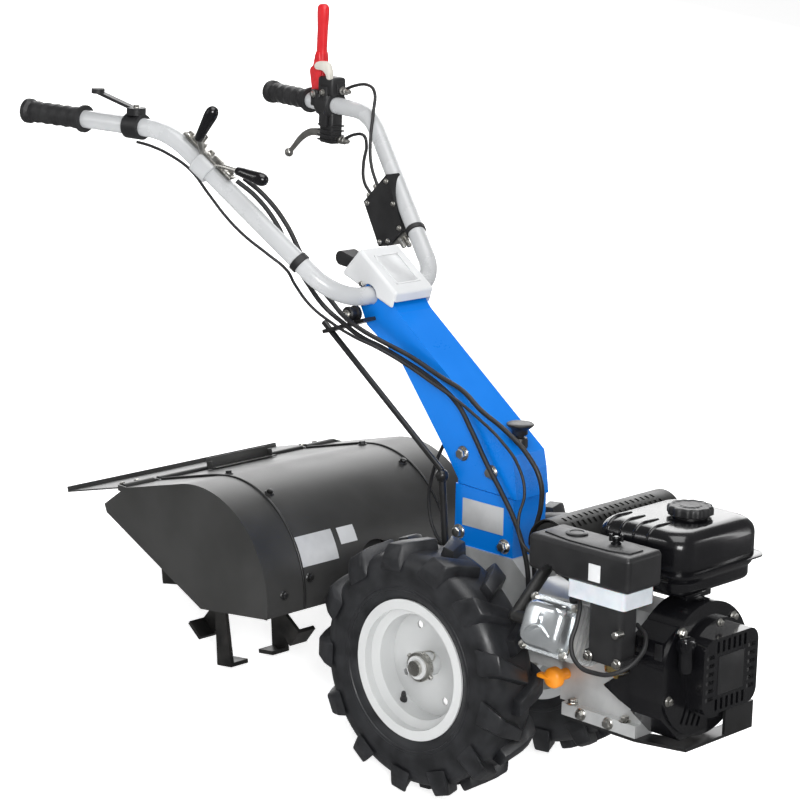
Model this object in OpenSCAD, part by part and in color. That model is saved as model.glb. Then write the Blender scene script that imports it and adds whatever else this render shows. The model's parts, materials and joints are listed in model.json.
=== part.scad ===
// Two-wheel walking tractor with a single-cylinder engine and a rear tiller.
// Millimetres. The machine is drawn level, with its origin at the middle of the wheel axle,
// +X towards the engine, +Y to the left and +Z up, and is then parked with its tines on the floor.

/* [Wheels] */
// Outer diameter of the tyres over the lugs
tyre_d = 415; // [395:1:440]
// Width of the tyre section
tyre_w = 110; // [98:1:114]
// Distance between the centre planes of the two wheels
track = 290; // [286:1:340]
// Diameter of the rim over its flanges
rim_flange_d = 228; // [222:1:240]
// Diameter of the bead seat of the rim
rim_seat_d = 203; // [196:1:208]
// Width of the rim over its flanges
rim_w = 88; // [80:1:92]
// Thickness of the rim sheet
rim_t = 3.5; // [2.5:0.5:5]
// Diameter of the wheel axles
axle_d = 25; // [20:1:30]
// Outer diameter of the hub tube of a wheel
hub_d = 38; // [36:1:46]
// Pitch circle of the wheel bolts
wheel_pcd = 128; // [110:1:140]
// Diameter of a wheel bolt hole
wheel_hole_d = 12; // [8:1:16]

/* [Gearbox] */
// Width of the gearbox housing
gearbox_w = 84; // [78:1:96]
// Distance from the axle forward to the clutch face
gearbox_front = 110; // [100:1:130]
// Distance from the axle back to the power take-off face
gearbox_rear = 92; // [80:1:110]
// Height of the gearbox top above the axle
gearbox_top = 170; // [160:1:190]
// Depth of the gearbox below the axle
gearbox_bottom = 62; // [50:1:80]
// Outer diameter of the axle tubes
axle_tube_d = 58; // [50:1:70]
// Height of the crankshaft above the axle
crank_rise = 72; // [66:1:80]
// Diameter of the clutch bell housing
bell_d = 150; // [130:1:160]
// Length of the clutch bell housing
bell_len = 105; // [95:1:125]

/* [Engine] */
// Length of the crankcase along the crankshaft
case_len = 160; // [150:1:180]
// Half width of the engine foot
foot_half_w = 85; // [80:1:95]
// Height of the engine foot under the crankshaft
foot_drop = 108; // [104:1:114]
// Thickness of the engine foot
foot_t = 20; // [14:1:26]
// Tilt of the cylinder above the horizontal
cylinder_tilt = 20; // [15:1:28]
// Distance from the crankshaft to the valve cover
head_reach = 165; // [155:1:175]
// Width of the cylinder head along the crankshaft
head_w = 92; // [84:1:98]
// Depth of the fan housing along the crankshaft
fan_len = 62; // [50:1:75]
// Radius of the fan housing
fan_r = 104; // [96:1:106]
// Depth of the recoil starter
recoil_len = 34; // [26:1:45]
// Length of the fuel tank along the crankshaft
tank_len = 190; // [170:1:200]
// Width of the fuel tank
tank_w = 215; // [195:1:225]
// Height of the fuel tank
tank_h = 98; // [85:1:115]
// Height of the lip of the fuel tank above its bottom
tank_lip = 39; // [32:1:50]
// Diameter of the filler cap
cap_d = 72; // [60:1:80]
// Length of the air filter cover
filter_len = 195; // [180:1:205]
// Width of the air filter cover
filter_w = 80; // [70:1:84]
// Height of the air filter cover
filter_h = 55; // [45:1:70]
// Diameter of the muffler
muffler_d = 72; // [60:1:78]
// Length of the muffler
muffler_len = 265; // [240:1:290]

/* [Column] */
// Width of the column
column_w = 76; // [70:1:90]
// Thickness of the column sheet
column_t = 3; // [2:0.5:4]
// Height of the column base above the gearbox
base_h = 99; // [90:1:115]
// Distance from the axle back to the handlebar's crossing tube
handle_back = 250; // [235:1:265]
// Height of the handlebar's crossing tube above the axle
handle_rise = 546; // [530:1:565]

/* [Handlebar] */
// Diameter of the handlebar tube
tube_d = 30; // [26:1:32]
// Distance between the grip ends
handle_span = 562; // [520:1:620]
// Distance from the crossing tube back to the grip ends
grip_back = 593; // [570:1:640]
// Height of the grip ends above the crossing tube
grip_rise = 262; // [240:1:290]
// Length of a grip
grip_len = 132; // [115:1:140]
// Outer diameter of a grip
grip_d = 38; // [36:1:44]

/* [Tiller] */
// Distance from the axle back to the rotor shaft
rotor_back = 432; // [420:1:450]
// Height of the rotor shaft above the axle when the machine is level
rotor_rise = 50; // [40:1:60]
// Radius of the tine feet
tine_r = 146; // [135:1:152]
// Width of a tine foot round the rotor
tine_w = 36; // [28:1:42]
// Diameter of the rotor shaft
rotor_shaft_d = 32; // [28:1:40]
// Inner radius of the hood over the rotor
hood_r = 172; // [170:1:185]
// Width of the hood over its end plates
hood_w = 510; // [490:1:560]
// Thickness of the hood sheet
hood_t = 2.5; // [2:0.5:4]
// Length of the hinged rear flap
flap_len = 158; // [130:1:190]

/* [Hidden] */
$fn = 64;

// Working clearances: a shaft in its bearing, a pin in its eye, a part beside a rotating part
shaft_gap = 0.05;
pin_gap = 0.3;
move_gap = 5;

// Wheels
axle_z = tyre_d / 2;
wheel_y = track / 2;
tread_r = axle_z;
seat_r = rim_seat_d / 2;
flange_r = rim_flange_d / 2;
axle_r = axle_d / 2;
disc_z = -10;
hub_end = 27;
carcass_r = tread_r - 18;
lug_count = 13;
lug_lead = 26;
lug_flank = 5;

// Gearbox and engine stations along X and heights above the axle
face_x = gearbox_front + bell_len;
case_end = face_x + case_len;
fan_end = case_end + fan_len;
foot_z = crank_rise - foot_drop;
head_x = face_x + 47;
head_start = 92;
cover_depth = 30;
muffler_x = face_x - 30;
muffler_z = crank_rise + 150;
guard_r = muffler_d / 2 + 6;
guard_slots = 18;
case_top = crank_rise + 72;
tank_z = crank_rise + fan_r + 6;
tank_x = muffler_x + guard_r + 13 + tank_len / 2;
tank_y = 48;
filter_y = -132;
filter_top = crank_rise + 199;
filter_z = filter_top - filter_h;
filter_x = case_end - 53;
body_x = filter_x + 51;
band_h = 27;
shell_t = 4;
body_h = 88;
body_w = 42;

// Column and handlebar
base_front = 76;
base_rear = -50;
base_top = gearbox_top + base_h;
side_y = column_w / 2;
tube_r = tube_d / 2;
pivot = [-handle_back, 0, handle_rise];
pivot_xz = [pivot[0], pivot[2]];
yoke_y = 116;
yoke_bend = 82;
elbow_bend = 126;
elbow_y = 231;
// A bent tube or sheet thins a little at its bends, and its straights lap over by a hair
bend_thin = 0.05;
bend_lap = 1;
bar_yoke = pivot + [0, -yoke_y, 0];
bar_elbow = pivot + [-281, -elbow_y, 254];
bar_end = pivot + [-grip_back, -handle_span / 2, grip_rise];
handle_len = norm(bar_end - bar_elbow);

// Side outline of the column, and the rod on its right
column_side = [
    [base_front + 5, base_top - 3], [base_front - 1, base_top + 40], [base_front - 7, base_top + 66],
    [pivot[0] + 63, pivot[2] - 21], [pivot[0] + 24, pivot[2] + 22], [pivot[0] - 22, pivot[2] + 24],
    [pivot[0] - 30, pivot[2] - 10], [pivot[0] - 9, pivot[2] - 51], [pivot[0] + 70, pivot[2] - 99],
    [base_rear - 31, base_top + 56], [base_rear + 10, base_top + 1]];
rod_top = pivot + [-76, -side_y - 18, -68];
rod_foot = [base_rear - 14, -side_y - 18, base_top + 20];

// Outline of the cable box and routes of the cables, from the handlebar's crossing tube or from the axle
box_corners = [[-158, 165], [-212, 112], [-173, 38], [-151, 42], [-116, 74]];
upper_loop = [[-375, 254, 284], [-340, 252, 296], [-302, 246, 300], [-274, 234, 290], [-254, 212, 260],
    [-234, 186, 214], [-208, 164, 172], [-188, 160, 140]];
lower_loop = [[-375, 254, 194], [-342, 252, 208], [-312, 246, 210], [-290, 232, 196], [-270, 206, 170],
    [-240, 178, 142], [-206, 162, 124]];
lever_run = [[-168, -184, 181], [-147, -160, 155], [-122, -136, 110], [-94, -129, 60], [-70, -112, 14],
    [-58, -88, -22], [-26, -76, -46], [14, -72, -64], [50, -62, -76]];
inner_run = [[-164, -172, 185], [-141, -149, 158], [-114, -125, 113], [-84, -117, 64], [-66, -101, 20],
    [-54, -80, -10], [-22, -78, -34], [18, -74, -52], [54, -64, -66]];
throttle_run = [[-350, -242, 230], [-320, -237, 226], [-285, -226, 214], [-250, -212, 192], [-214, -204, 156],
    [-180, -196, 122], [-146, -186, 94], [-108, -168, 66], [-86, -148, 42], [-88, -126, 14],
    [-76, -104, -20], [-40, -92, -44], [10, -86, -62], [50, -76, -74]];
clutch_run = [[-147, -52, 463], [-79, -50, 440], [-30, -48, 424], [8, -47, 400], [59, -45, 376],
    [108, -44, 344], [133, -42, 308], [134, -40, 270], [122, -38, 225], [118, -34, 180], [118, -30, 140]];
gear_run = [[-147, -50, 449], [-79, -49, 424], [-40, -48, 400], [-10, -48, 364], [22, -48, 320],
    [58, -48, 276], [90, -50, 236], [110, -52, 200], [120, -51, 165], [121, -48, 130]];
engine_run = [[-147, -64, 452], [-79, -62, 428], [-30, -60, 410], [15, -60, 390], [66, -60, 362],
    [104, -62, 330], [122, -66, 290], [124, -80, 255], [140, -92, 225], [175, -95, 206], [215, -98, 196],
    [262, -102, 184], [304, -104, 172], [328, -105, 156], [334, -105, 145]];
rear_run = [[-66, -14, 372], [-93, -18, 328], [-120, -20, 264], [-126, -20, 215], [-112, -20, 172],
    [-86, -20, 147]];
plug_run = [[case_end + 8, -102, 150], [case_end + 37, -116, 140], [case_end + 49, -146, 118],
    [body_x + 35, -176, 98], [body_x - 1, -182, 90], [body_x - 35, -182, 96], [body_x - 51, -178, 118],
    [body_x - 55, -162, 150], [body_x - 59, -152, 172], [body_x - 71, -142, 180], [body_x - 87, -134, 175]];

// Tiller
rotor = [-rotor_back, 0, rotor_rise];
hood_out_r = hood_r + hood_t;
hood_slope = 14;
hood_dip = 5;
hood_gap = 9;
hood_half = hood_w / 2;
wing_y = 172;
gearcase_half = 24;
rotor_half = hood_half - 22;
tine_rows = 3;
foot_len = 38;
tine_t = 7;
flange_t = 8;
row_step = (rotor_half - gearcase_half - foot_len - 30) / (tine_rows - 1);
hinge_run = 164;
plate_low = [-rotor_back + 10, rotor_rise - 36];
plate_front = [-rotor_back + hood_r - 6, rotor_rise - 17];
hinge_r = 4;
barrel_r = 7;
flap_half = hood_half - hood_t - move_gap;
hood_crest = [-rotor_back + hood_out_r * cos(90 + hood_slope), rotor_rise + hood_out_r * sin(90 + hood_slope)];
hinge = hood_crest + hinge_run * [-cos(hood_slope), -sin(hood_slope)];

// Parking: the machine leans back about the axle until the tines at the bottom stand on the floor
tine_step = 45;
tine_reach = tine_r * cos(tine_step / 2) + tine_w / 2 * sin(tine_step / 2);
rotor_arm = norm([rotor_back, rotor_rise]);
park_pitch = acos((tine_reach - axle_z) / rotor_arm) - atan2(rotor_back, rotor_rise);
// A lug of each wheel points at the floor when parked
lug_turn = -90 - park_pitch + atan2(lug_lead - 1, tread_r);
guard_t = 5;
guard_tip = [fan_end + 17, foot_z - guard_t];
recoil_h = 118;
recoil_w = 132;
louvre_count = 4;
louvre_depth = 5;
recoil_low = [fan_end + recoil_len, crank_rise - recoil_h / 2];
function park_x(x, z) = x * cos(park_pitch) - z * sin(park_pitch);
nose_x = max(park_x(guard_tip[0], guard_tip[1]), park_x(recoil_low[0], recoil_low[1]));
grip_rim = grip_d / 2 + 2;
grip_run = unit(bar_end - bar_elbow);
grip_run_x = park_x(grip_run[0], grip_run[2]);
tail_x = park_x(bar_end[0], bar_end[2]) - grip_rim * sqrt(1 - grip_run_x * grip_run_x);
middle_x = (nose_x + tail_x) / 2;

// Place a level-drawn piece where it stands when the machine is parked
module parked() translate([-middle_x, 0, axle_z]) rotate([0, -park_pitch, 0]) children();

function unit(v) = v / norm(v);

// Extrude an outline of [x, z] points along Y
module side_plate(y0, y1) translate([0, y1, 0]) rotate([90, 0, 0]) linear_extrude(y1 - y0) children();

// Round bars along the three axes
module bar_x(x0, x1, r) translate([x0, 0, 0]) rotate([0, 90, 0]) cylinder(h = x1 - x0, r = r);
module bar_y(y0, y1, r) translate([0, y0, 0]) rotate([-90, 0, 0]) cylinder(h = y1 - y0, r = r);

// Round rod between two points
module rod(a, b, r) {
    d = b - a;
    translate(a) rotate([0, acos(d[2] / norm(d)), atan2(d[1], d[0])]) cylinder(h = norm(d), r = r);
}

// Bend of a round tube at the corner between two straights
module elbow(before, corner, after, bend, r) {
    u = unit(before - corner);
    v = unit(after - corner);
    half = acos(u * v) / 2;
    centre = corner + unit(u + v) * bend / sin(half);
    a = unit(corner + u * bend / tan(half) - centre);
    w = cross(a, -u);
    multmatrix([[a[0], -u[0], w[0], centre[0]],
                [a[1], -u[1], w[1], centre[1]],
                [a[2], -u[2], w[2], centre[2]]])
        rotate_extrude(angle = 180 - 2 * half) translate([bend, 0]) circle(r = r);
}

// How far a bend eats into its two straights
function bend_trim(before, corner, after, bend) =
    bend / tan(acos(unit(before - corner) * unit(after - corner)) / 2);

// Box with rounded edges, given by its lowest and highest corners
module soft_box(low, high, r) hull() for (x = [low[0] + r, high[0] - r], y = [low[1] + r, high[1] - r],
    z = [low[2] + r, high[2] - r]) translate([x, y, z]) sphere(r = r, $fn = 20);

// Flat rectangle with round corners, centred
module round_rect(w, h, r) {
    square([w - 2 * r, h], center = true);
    square([w, h - 2 * r], center = true);
    for (x = [-1, 1], y = [-1, 1]) translate([x * (w / 2 - r), y * (h / 2 - r)]) circle(r = r);
}

// Wheel frames: local Z points outward along the axle
module right_wheel() parked() translate([0, -wheel_y, 0]) rotate([90, 0, 0]) children();
module left_wheel() left_side() right_wheel() children();

// Right handle frame: local X runs back along the grip, Y outward, Z up. The left side is its mirror.
module on_handle(s) {
    d = unit(bar_end - bar_elbow);
    translate(bar_elbow + s * d) rotate([0, -asin(d[2]), atan2(d[1], d[0])]) children();
}
module left_side() mirror([0, 1, 0]) children();

// Ring of flat facets: a closed [radius, z] profile turned in n steps round Z
module facet_ring(profile, n) {
    m = len(profile);
    polyhedron(points = [for (i = [0:n - 1], p = profile)
            [p[0] * cos(360 * i / n), p[0] * sin(360 * i / n), p[1]]],
        faces = [for (i = [0:n - 1], j = [0:m - 1])
            let (k = (i + 1) % n, l = (j + 1) % m) [i * m + j, k * m + j, k * m + l, i * m + l]]);
}

// Bar with four corners at each of several sections, given as [top, bottom, across, z, half width]
module lug_bar(sections) {
    last = 4 * (len(sections) - 1);
    polyhedron(points = [for (c = sections)
            each [[c[0], c[2] - c[4], c[3]], [c[0], c[2] + c[4], c[3]],
                [c[1], c[2] + c[4] + lug_flank, c[3]], [c[1], c[2] - c[4] - lug_flank, c[3]]]],
        faces = concat([[0, 1, 2, 3], [last + 3, last + 2, last + 1, last]],
            [for (j = [0:4:last - 4], k = [0:3]) let (l = (k + 1) % 4)
                each [[j + k, j + 4 + k, j + 4 + l], [j + k, j + 4 + l, j + l]]]));
}

// Lug of the tread, from past the middle to the shoulder and down the side wall
module lug() {
    half = tyre_w / 2;
    crown = sqrt(tread_r * tread_r - lug_lead * lug_lead);
    lug_bar([[crown, carcass_r - 8, 9 - lug_lead, -8, 8], [crown - 0.5, carcass_r - 8, 5, half - 24, 9],
        [crown - 4, carcass_r - 14, 16, half - 8, 10], [crown - 26, carcass_r - 30, 21, half, 10]]);
}

module tyre() {
    bead = rim_w / 2 - rim_t - 0.3;
    half = tyre_w / 2 - 4;
    steps = 3 * lug_count - 2;
    low = (seat_r + 0.3) / cos(180 / steps);
    wall = 9;
    color([0.07, 0.07, 0.07]) {
        facet_ring([
            [low, bead], [flange_r + 1, bead], [flange_r + 12, half - 4], [carcass_r - 38, half],
            [carcass_r - 16, half - 3], [carcass_r - 5, half - 11], [carcass_r, half - 26],
            [carcass_r, 26 - half], [carcass_r - 5, 11 - half], [carcass_r - 16, 3 - half],
            [carcass_r - 38, -half], [flange_r + 12, 4 - half], [flange_r + 1, -bead], [low, -bead],
            [low, 2 * wall - bead], [carcass_r - 14, wall + 10 - half], [carcass_r - 14, half - wall - 10],
            [low, bead - 2 * wall]], steps);
        for (i = [0:lug_count - 1]) {
            rotate(lug_turn + 360 * i / lug_count) lug();
            rotate(lug_turn + 360 * (i + 0.5) / lug_count) mirror([0, 0, 1]) lug();
        }
    }
}

module rim() {
    h = rim_w / 2;
    well_r = seat_r - 12;
    color([0.86, 0.86, 0.85]) difference() {
        union() {
            rotate_extrude() polygon([
                [flange_r, h], [flange_r, h - rim_t], [seat_r, h - rim_t], [seat_r, 26], [well_r, 18],
                [well_r, -18], [seat_r, -26], [seat_r, rim_t - h], [flange_r, rim_t - h], [flange_r, -h],
                [seat_r - rim_t, -h], [seat_r - rim_t, -26 - rim_t], [well_r - rim_t, -18 - rim_t],
                [well_r - rim_t, 18 + rim_t], [seat_r - rim_t, 26 + rim_t], [seat_r - rim_t, h]]);
            translate([0, 0, disc_z - rim_t]) cylinder(h = rim_t, r = well_r - 1);
            translate([0, 0, -h + 10]) cylinder(h = h - 10 + hub_end, r = hub_d / 2);
        }
        translate([0, 0, -h]) cylinder(h = 3 * h, r = axle_r + shaft_gap);
        for (i = [0:3]) rotate(27 + 90 * i) translate([wheel_pcd / 2, 0, -h]) cylinder(h = h, d = wheel_hole_d);
    }
}

module axle() color([0.6, 0.6, 0.6]) translate([0, 0, 34 - wheel_y])
    cylinder(h = wheel_y - 34 + hub_end + 6, r = axle_r);

module tyre_right() right_wheel() tyre();
module rim_right() right_wheel() rim();
module axle_right() right_wheel() axle();
module tyre_left() left_wheel() tyre();
module rim_left() left_wheel() rim();
module axle_left() left_wheel() axle();

// Gearbox: a flat cast case, axle tubes to both sides and a boss that carries the column base
module gearbox_housing() parked() color([0.72, 0.73, 0.74]) difference() {
    half = gearbox_w / 2;
    tube_end = wheel_y - rim_w / 2 + 10 - 4;
    union() {
        side_plate(-half, half) polygon([
            [-gearbox_rear, 20], [-gearbox_rear, 120], [base_rear - 14, gearbox_top],
            [base_front + 4, gearbox_top], [gearbox_front, gearbox_top - 25], [gearbox_front, 10],
            [45, -gearbox_bottom], [-45, -gearbox_bottom]]);
        bar_y(-tube_end, tube_end, axle_tube_d / 2);
        bar_y(-half - 8, half + 8, axle_tube_d / 2 + 12);
        side_plate(-side_y + column_t, side_y - column_t) polygon([
            [base_rear + 6, gearbox_top - 1], [base_rear + 6, gearbox_top + 36],
            [base_front - 8, gearbox_top + 36], [base_front - 8, gearbox_top - 1]]);
    }
    for (s = [-1, 1]) translate([0, s * (tube_end + 2 - wheel_y / 2) , 0])
        bar_y(-wheel_y / 2, wheel_y / 2, axle_r + shaft_gap);
}

module bell_housing() parked() color([0.7, 0.71, 0.72]) translate([0, 0, crank_rise]) {
    bar_x(gearbox_front, gearbox_front + 12, bell_d / 2 - 10);
    bar_x(gearbox_front + 12, face_x - 10, bell_d / 2 - 4);
    bar_x(face_x - 10, face_x, bell_d / 2);
}

// Cylinder frame: local Z points from the crankshaft out along the cylinder
module cylinder_frame() translate([head_x, 0, crank_rise]) rotate([90 - cylinder_tilt, 0, 0]) children();

module engine_block() parked() color([0.74, 0.74, 0.73]) {
    difference() {
        union() {
            translate([face_x, 0, 0]) rotate([90, 0, 90]) linear_extrude(case_len) polygon([
                [-foot_half_w + 12, foot_z + foot_t - 1], [-70, crank_rise - 30], [-70, crank_rise + 40],
                [-30, case_top], [45, case_top], [72, crank_rise + 40],
                [72, crank_rise - 40], [foot_half_w - 12, foot_z + foot_t - 1]]);
            translate([face_x + 14, -foot_half_w, foot_z]) cube([case_len - 14, 2 * foot_half_w, foot_t]);
        }
        cylinder_frame() translate([-case_len, -60, head_start]) cube([2 * case_len, 140, 60]);
    }
    cylinder_frame() translate([-head_w / 2 + 8, -36, 40]) cube([head_w - 16, 72, head_start - 40]);
}

module cylinder_barrel() parked() color([0.66, 0.66, 0.66]) cylinder_frame() {
    translate([0, 0, head_start]) cylinder(h = head_reach - head_start, r = 37);
    for (z = [head_start + 6 : 11 : head_reach - 16]) translate([0, 0, z])
        linear_extrude(5) round_rect(head_w, 88, 8);
    translate([0, 0, head_reach - 12]) linear_extrude(12) round_rect(head_w, 84, 10);
}

module valve_cover() parked() color([0.8, 0.82, 0.84]) cylinder_frame() translate([0, 0, head_reach]) {
    linear_extrude(5) round_rect(head_w, 86, 14);
    hull() {
        translate([0, 0, 4.9]) linear_extrude(1) round_rect(head_w - 10, 76, 16);
        translate([0, 0, cover_depth - 8]) linear_extrude(1) round_rect(head_w - 18, 66, 16);
        translate([0, 0, cover_depth - 1]) linear_extrude(1) round_rect(head_w - 30, 54, 16);
    }
    for (y = [-16, 0, 16]) translate([0, y, cover_depth - 2]) linear_extrude(5) round_rect(head_w - 44, 9, 3.5);
}

// Fan housing: a hollow drum with a hole for the crankshaft, a flat flank to the right and slanted louvres
module fan_housing() parked() color([0.05, 0.05, 0.05]) translate([case_end, 0, crank_rise]) difference() {
    union() {
        bar_x(0, fan_len, fan_r);
        rotate([90, 0, 90]) linear_extrude(fan_len - 4) polygon([[-fan_r + 6, -60], [-fan_r + 6, 60],
            [-36, fan_r - 6], [20, 0], [24, -fan_r + 1], [-52, -fan_r + 1]]);
    }
    for (i = [0:louvre_count - 1]) translate([fan_len - louvre_depth, -58 + 13 * i, -74 - 4 * i])
        rotate([-24, 0, 0]) cube([2 * louvre_depth, 6, 26]);
    bar_x(shell_t, fan_len - louvre_depth - shell_t, fan_r - 2 * shell_t);
    bar_x(-1, 2 * shell_t, 2 * axle_r);
}

// Recoil starter: a hollow cover with a round base, a square grille of slots and its pull grip
module recoil_starter() parked() color([0.06, 0.06, 0.06]) translate([fan_end, 16, crank_rise]) {
    rotate([90, 0, 90]) difference() {
        union() {
            linear_extrude(recoil_len - 24) circle(r = fan_r - 26);
            linear_extrude(recoil_len) round_rect(recoil_w, recoil_h, 22);
        }
        for (side = [-1, 1], i = [-2.5:2.5]) {
            translate([side * (recoil_w / 2 - 16), 13 * i, recoil_len - louvre_depth])
                linear_extrude(2 * louvre_depth) square([18, 6], center = true);
            translate([13 * i, side * (recoil_h / 2 - 14), recoil_len - louvre_depth])
                linear_extrude(2 * louvre_depth) square([6, 18], center = true);
        }
        translate([0, 0, -1]) linear_extrude(recoil_len - louvre_depth - shell_t + 1)
            square([recoil_w - 20, recoil_h - 20], center = true);
    }
    translate([11, -recoil_w / 2 - 16, 18]) {
        cylinder(h = 40, r = 9);
        translate([0, 0, 36]) rotate([-90, 0, 0]) translate([0, 0, -12]) cylinder(h = 24, r = 9.6);
    }
}

// Hollow fuel tank with its filler hole, on a foot that stands on the crankcase and a saddle on the fan housing
module fuel_tank() parked() color([0.05, 0.05, 0.05]) {
    translate([tank_x - tank_len / 2, tank_y - tank_w / 2, tank_z]) difference() {
        tank_form();
        translate([24, 24, shell_t]) cube([tank_len - 48, tank_w - 48, tank_h - 2 * shell_t]);
        translate([tank_len / 2 + 14, tank_w / 2 + 10, tank_h / 2]) cylinder(h = tank_h, r = cap_d / 2 - 14);
    }
    translate([tank_x - tank_len / 2 + 30, 0, case_top]) cube([30, 40, tank_z - case_top + 1]);
    difference() {
        translate([case_end + 8, -16, tank_z - 12]) cube([24, 60, 13]);
        translate([0, 0, crank_rise]) bar_x(case_end, fan_end, fan_r + shaft_gap);
    }
}

// Outer form of the fuel tank: a tray with a lip, a rounded top and three ribs
module tank_form() {
    translate([tank_len / 2, tank_w / 2, 0]) {
        linear_extrude(tank_lip) round_rect(tank_len - 30, tank_w - 30, 24);
        translate([0, 0, tank_lip - 3]) linear_extrude(3) round_rect(tank_len, tank_w, 24);
    }
    soft_box([8, 8, tank_lip - 26], [tank_len - 8, tank_w - 8, tank_h], 18);
    for (i = [0:2]) translate([40 + 30 * i, 44, tank_h - 3]) linear_extrude(6) round_rect(13, 50, 6);
}

module fuel_cap() parked() color([0.06, 0.06, 0.06])
    translate([tank_x + 14, tank_y + 10, tank_z + tank_h]) {
        cylinder(h = 4, r = cap_d / 2 - 10);
        translate([0, 0, 4]) cylinder(h = 14, r = cap_d / 2 - 2);
        for (i = [0:11]) rotate(30 * i) translate([cap_d / 2 - 5, 0, 6]) cylinder(h = 10, r = 5);
    }

module air_filter_cover() parked() color([0.09, 0.09, 0.09]) difference() {
    soft_box([filter_x - filter_len / 2, filter_y - filter_w / 2, filter_z],
        [filter_x + filter_len / 2, filter_y + filter_w / 2, filter_top], 8);
    translate([filter_x - filter_len / 2 + 42, 0, filter_z]) bar_y(filter_y - filter_w, filter_y, 14);
}

module air_filter_band() parked() color([0.85, 0.86, 0.87])
    translate([filter_x + 33, filter_y, filter_z - band_h]) linear_extrude(band_h)
        round_rect(filter_len - 86, filter_w - 10, 6);

module air_filter_body() parked() color([0.07, 0.07, 0.07])
    translate([body_x, filter_y - filter_w / 2 + 5 + body_w / 2, filter_z - band_h - body_h]) {
        linear_extrude(body_h) round_rect(64, body_w, 10);
        linear_extrude(12) round_rect(76, body_w, 8);
    }

// Carburettor between the head and the back of the air filter body, with its float bowl below
module carburettor() parked() {
    y = filter_y - filter_w / 2 + 5 + body_w + 20;
    z = crank_rise + 54;
    x0 = head_x + head_w / 2;
    color([0.6, 0.6, 0.6]) {
        translate([0, y, z]) bar_x(x0, body_x - 2, 17);
        translate([body_x - 12, y - 20, z - 14]) cube([18, 20, 28]);
    }
    color([0.75, 0.63, 0.3]) translate([body_x - 22, y, z - 56]) cylinder(h = 44, r = 18);
}

// Muffler across the machine, with its pipe from the exhaust port of the head
module muffler() parked() color([0.07, 0.07, 0.07]) {
    y0 = tank_y - tank_w / 2 - 12;
    pipe_r = 10;
    reach = head_reach - 6;
    port = [head_x - head_w / 2, -reach * cos(cylinder_tilt), crank_rise + reach * sin(cylinder_tilt)];
    bend = [muffler_x, port[1], port[2]];
    translate([muffler_x, 0, muffler_z]) bar_y(y0, y0 + muffler_len, muffler_d / 2);
    rod(port, bend, pipe_r);
    translate(bend) sphere(r = pipe_r + 0.6);
    rod(bend, [muffler_x, y0 + 20, muffler_z - 8], pipe_r);
}

// Sheet guard over the muffler with two rows of slots, on two feet
module muffler_guard() parked() color([0.06, 0.06, 0.06]) {
    y0 = tank_y - tank_w / 2 - 18;
    r = guard_r;
    translate([muffler_x, 0, muffler_z]) difference() {
        bar_y(y0, y0 + muffler_len + 12, r);
        bar_y(y0 - 1, y0 + muffler_len + 13, r - 2);
        translate([-2 * r, y0 - 1, -2 * r]) cube([4 * r, muffler_len + 14, 2 * r - 8]);
        for (row = [0, 1], i = [0:guard_slots - 1])
            translate([0, y0 + 22 + (i + row / 2) * (muffler_len - 40) / guard_slots, 0])
                rotate([0, 14 + 22 * row, 0]) translate([-5, -2.5, r - 6]) cube([10, 5, 12]);
    }
    for (y = [y0 + 40, y0 + muffler_len - 30]) translate([muffler_x, y, muffler_z + muffler_d / 2])
        cylinder(h = 5, r = 5);
}

module oil_dipstick() parked() color([0.95, 0.55, 0.05]) translate([face_x + 10, 0, crank_rise - 46]) {
    bar_y(-102, -71.4, 9);
    translate([-14, -112, -9]) cube([28, 12, 18]);
}

module front_guard() parked() color([0.1, 0.1, 0.1]) {
    translate([0, 0, guard_tip[1]]) linear_extrude(guard_t) polygon([
        [face_x + 20, -foot_half_w], [case_end, -foot_half_w], [guard_tip[0], -62], [guard_tip[0], 101],
        [guard_tip[0] - 30, 101], [guard_tip[0] - 30, -30], [case_end, -48], [face_x + 20, -48]]);
    translate([guard_tip[0] - guard_t, 32, guard_tip[1]]) cube([guard_t, 69, 44]);
}

// Folded box between the gearbox and the column, with two tongues that reach up inside the column
module column_base() parked() color([0.0, 0.4, 0.85]) {
    difference() {
        side_plate(-side_y, side_y) polygon([
            [base_rear, gearbox_top], [base_rear, base_top], [base_front, base_top - 4],
            [base_front, gearbox_top]]);
        side_plate(-side_y + column_t, side_y - column_t) polygon([
            [base_rear - 1, gearbox_top - 1], [base_rear - 1, base_top + 1],
            [base_front - column_t, base_top + 1], [base_front - column_t, gearbox_top - 1]]);
    }
    for (s = [-1, 1]) translate([0, s * (side_y - 1.5 * column_t), 0])
        side_plate(-column_t / 2, column_t / 2) polygon([
            [base_rear + 2, base_top - 40], [base_rear + 2, base_top + 20], [base_rear + 30, base_top + 70],
            [base_front - 24, base_top + 44], [base_front - 6, base_top - 40]]);
}

// Column: a folded channel with its web to the front, open to the rear
module column() parked() color([0.0, 0.42, 0.88]) difference() {
    side_plate(-side_y, side_y) polygon(column_side);
    side_plate(-side_y + column_t, side_y - column_t) translate([-column_t - 1, -column_t - 1])
        polygon(column_side);
    translate(pivot) bar_y(-column_w, column_w, tube_r + pin_gap);
}

// Outer form of the cover over the column's head
module cover_form() hull() for (p = [[-56, 30], [-22, 66], [56, 10], [50, -8], [2, 20]], y = [-1, 1])
    translate(pivot + [p[0], y * (side_y + 1), p[1]]) sphere(r = 6, $fn = 20);

module column_cover() parked() color([0.88, 0.88, 0.88]) {
    difference() {
        cover_form();
        hull() for (p = [[-55, 20], [-22, 61], [54, 6], [57, -45], [-4, -12]])
            translate(pivot + [p[0], 0, p[1]]) bar_y(-side_y - 4, side_y + 4, 3);
        translate(pivot) bar_y(-column_w, column_w, tube_r + 4);
    }
    for (s = [-1, 1]) translate(pivot + [-16, s * (side_y + 2.5), 17]) bar_y(-2.5, 2.5, 5);
}

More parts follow.
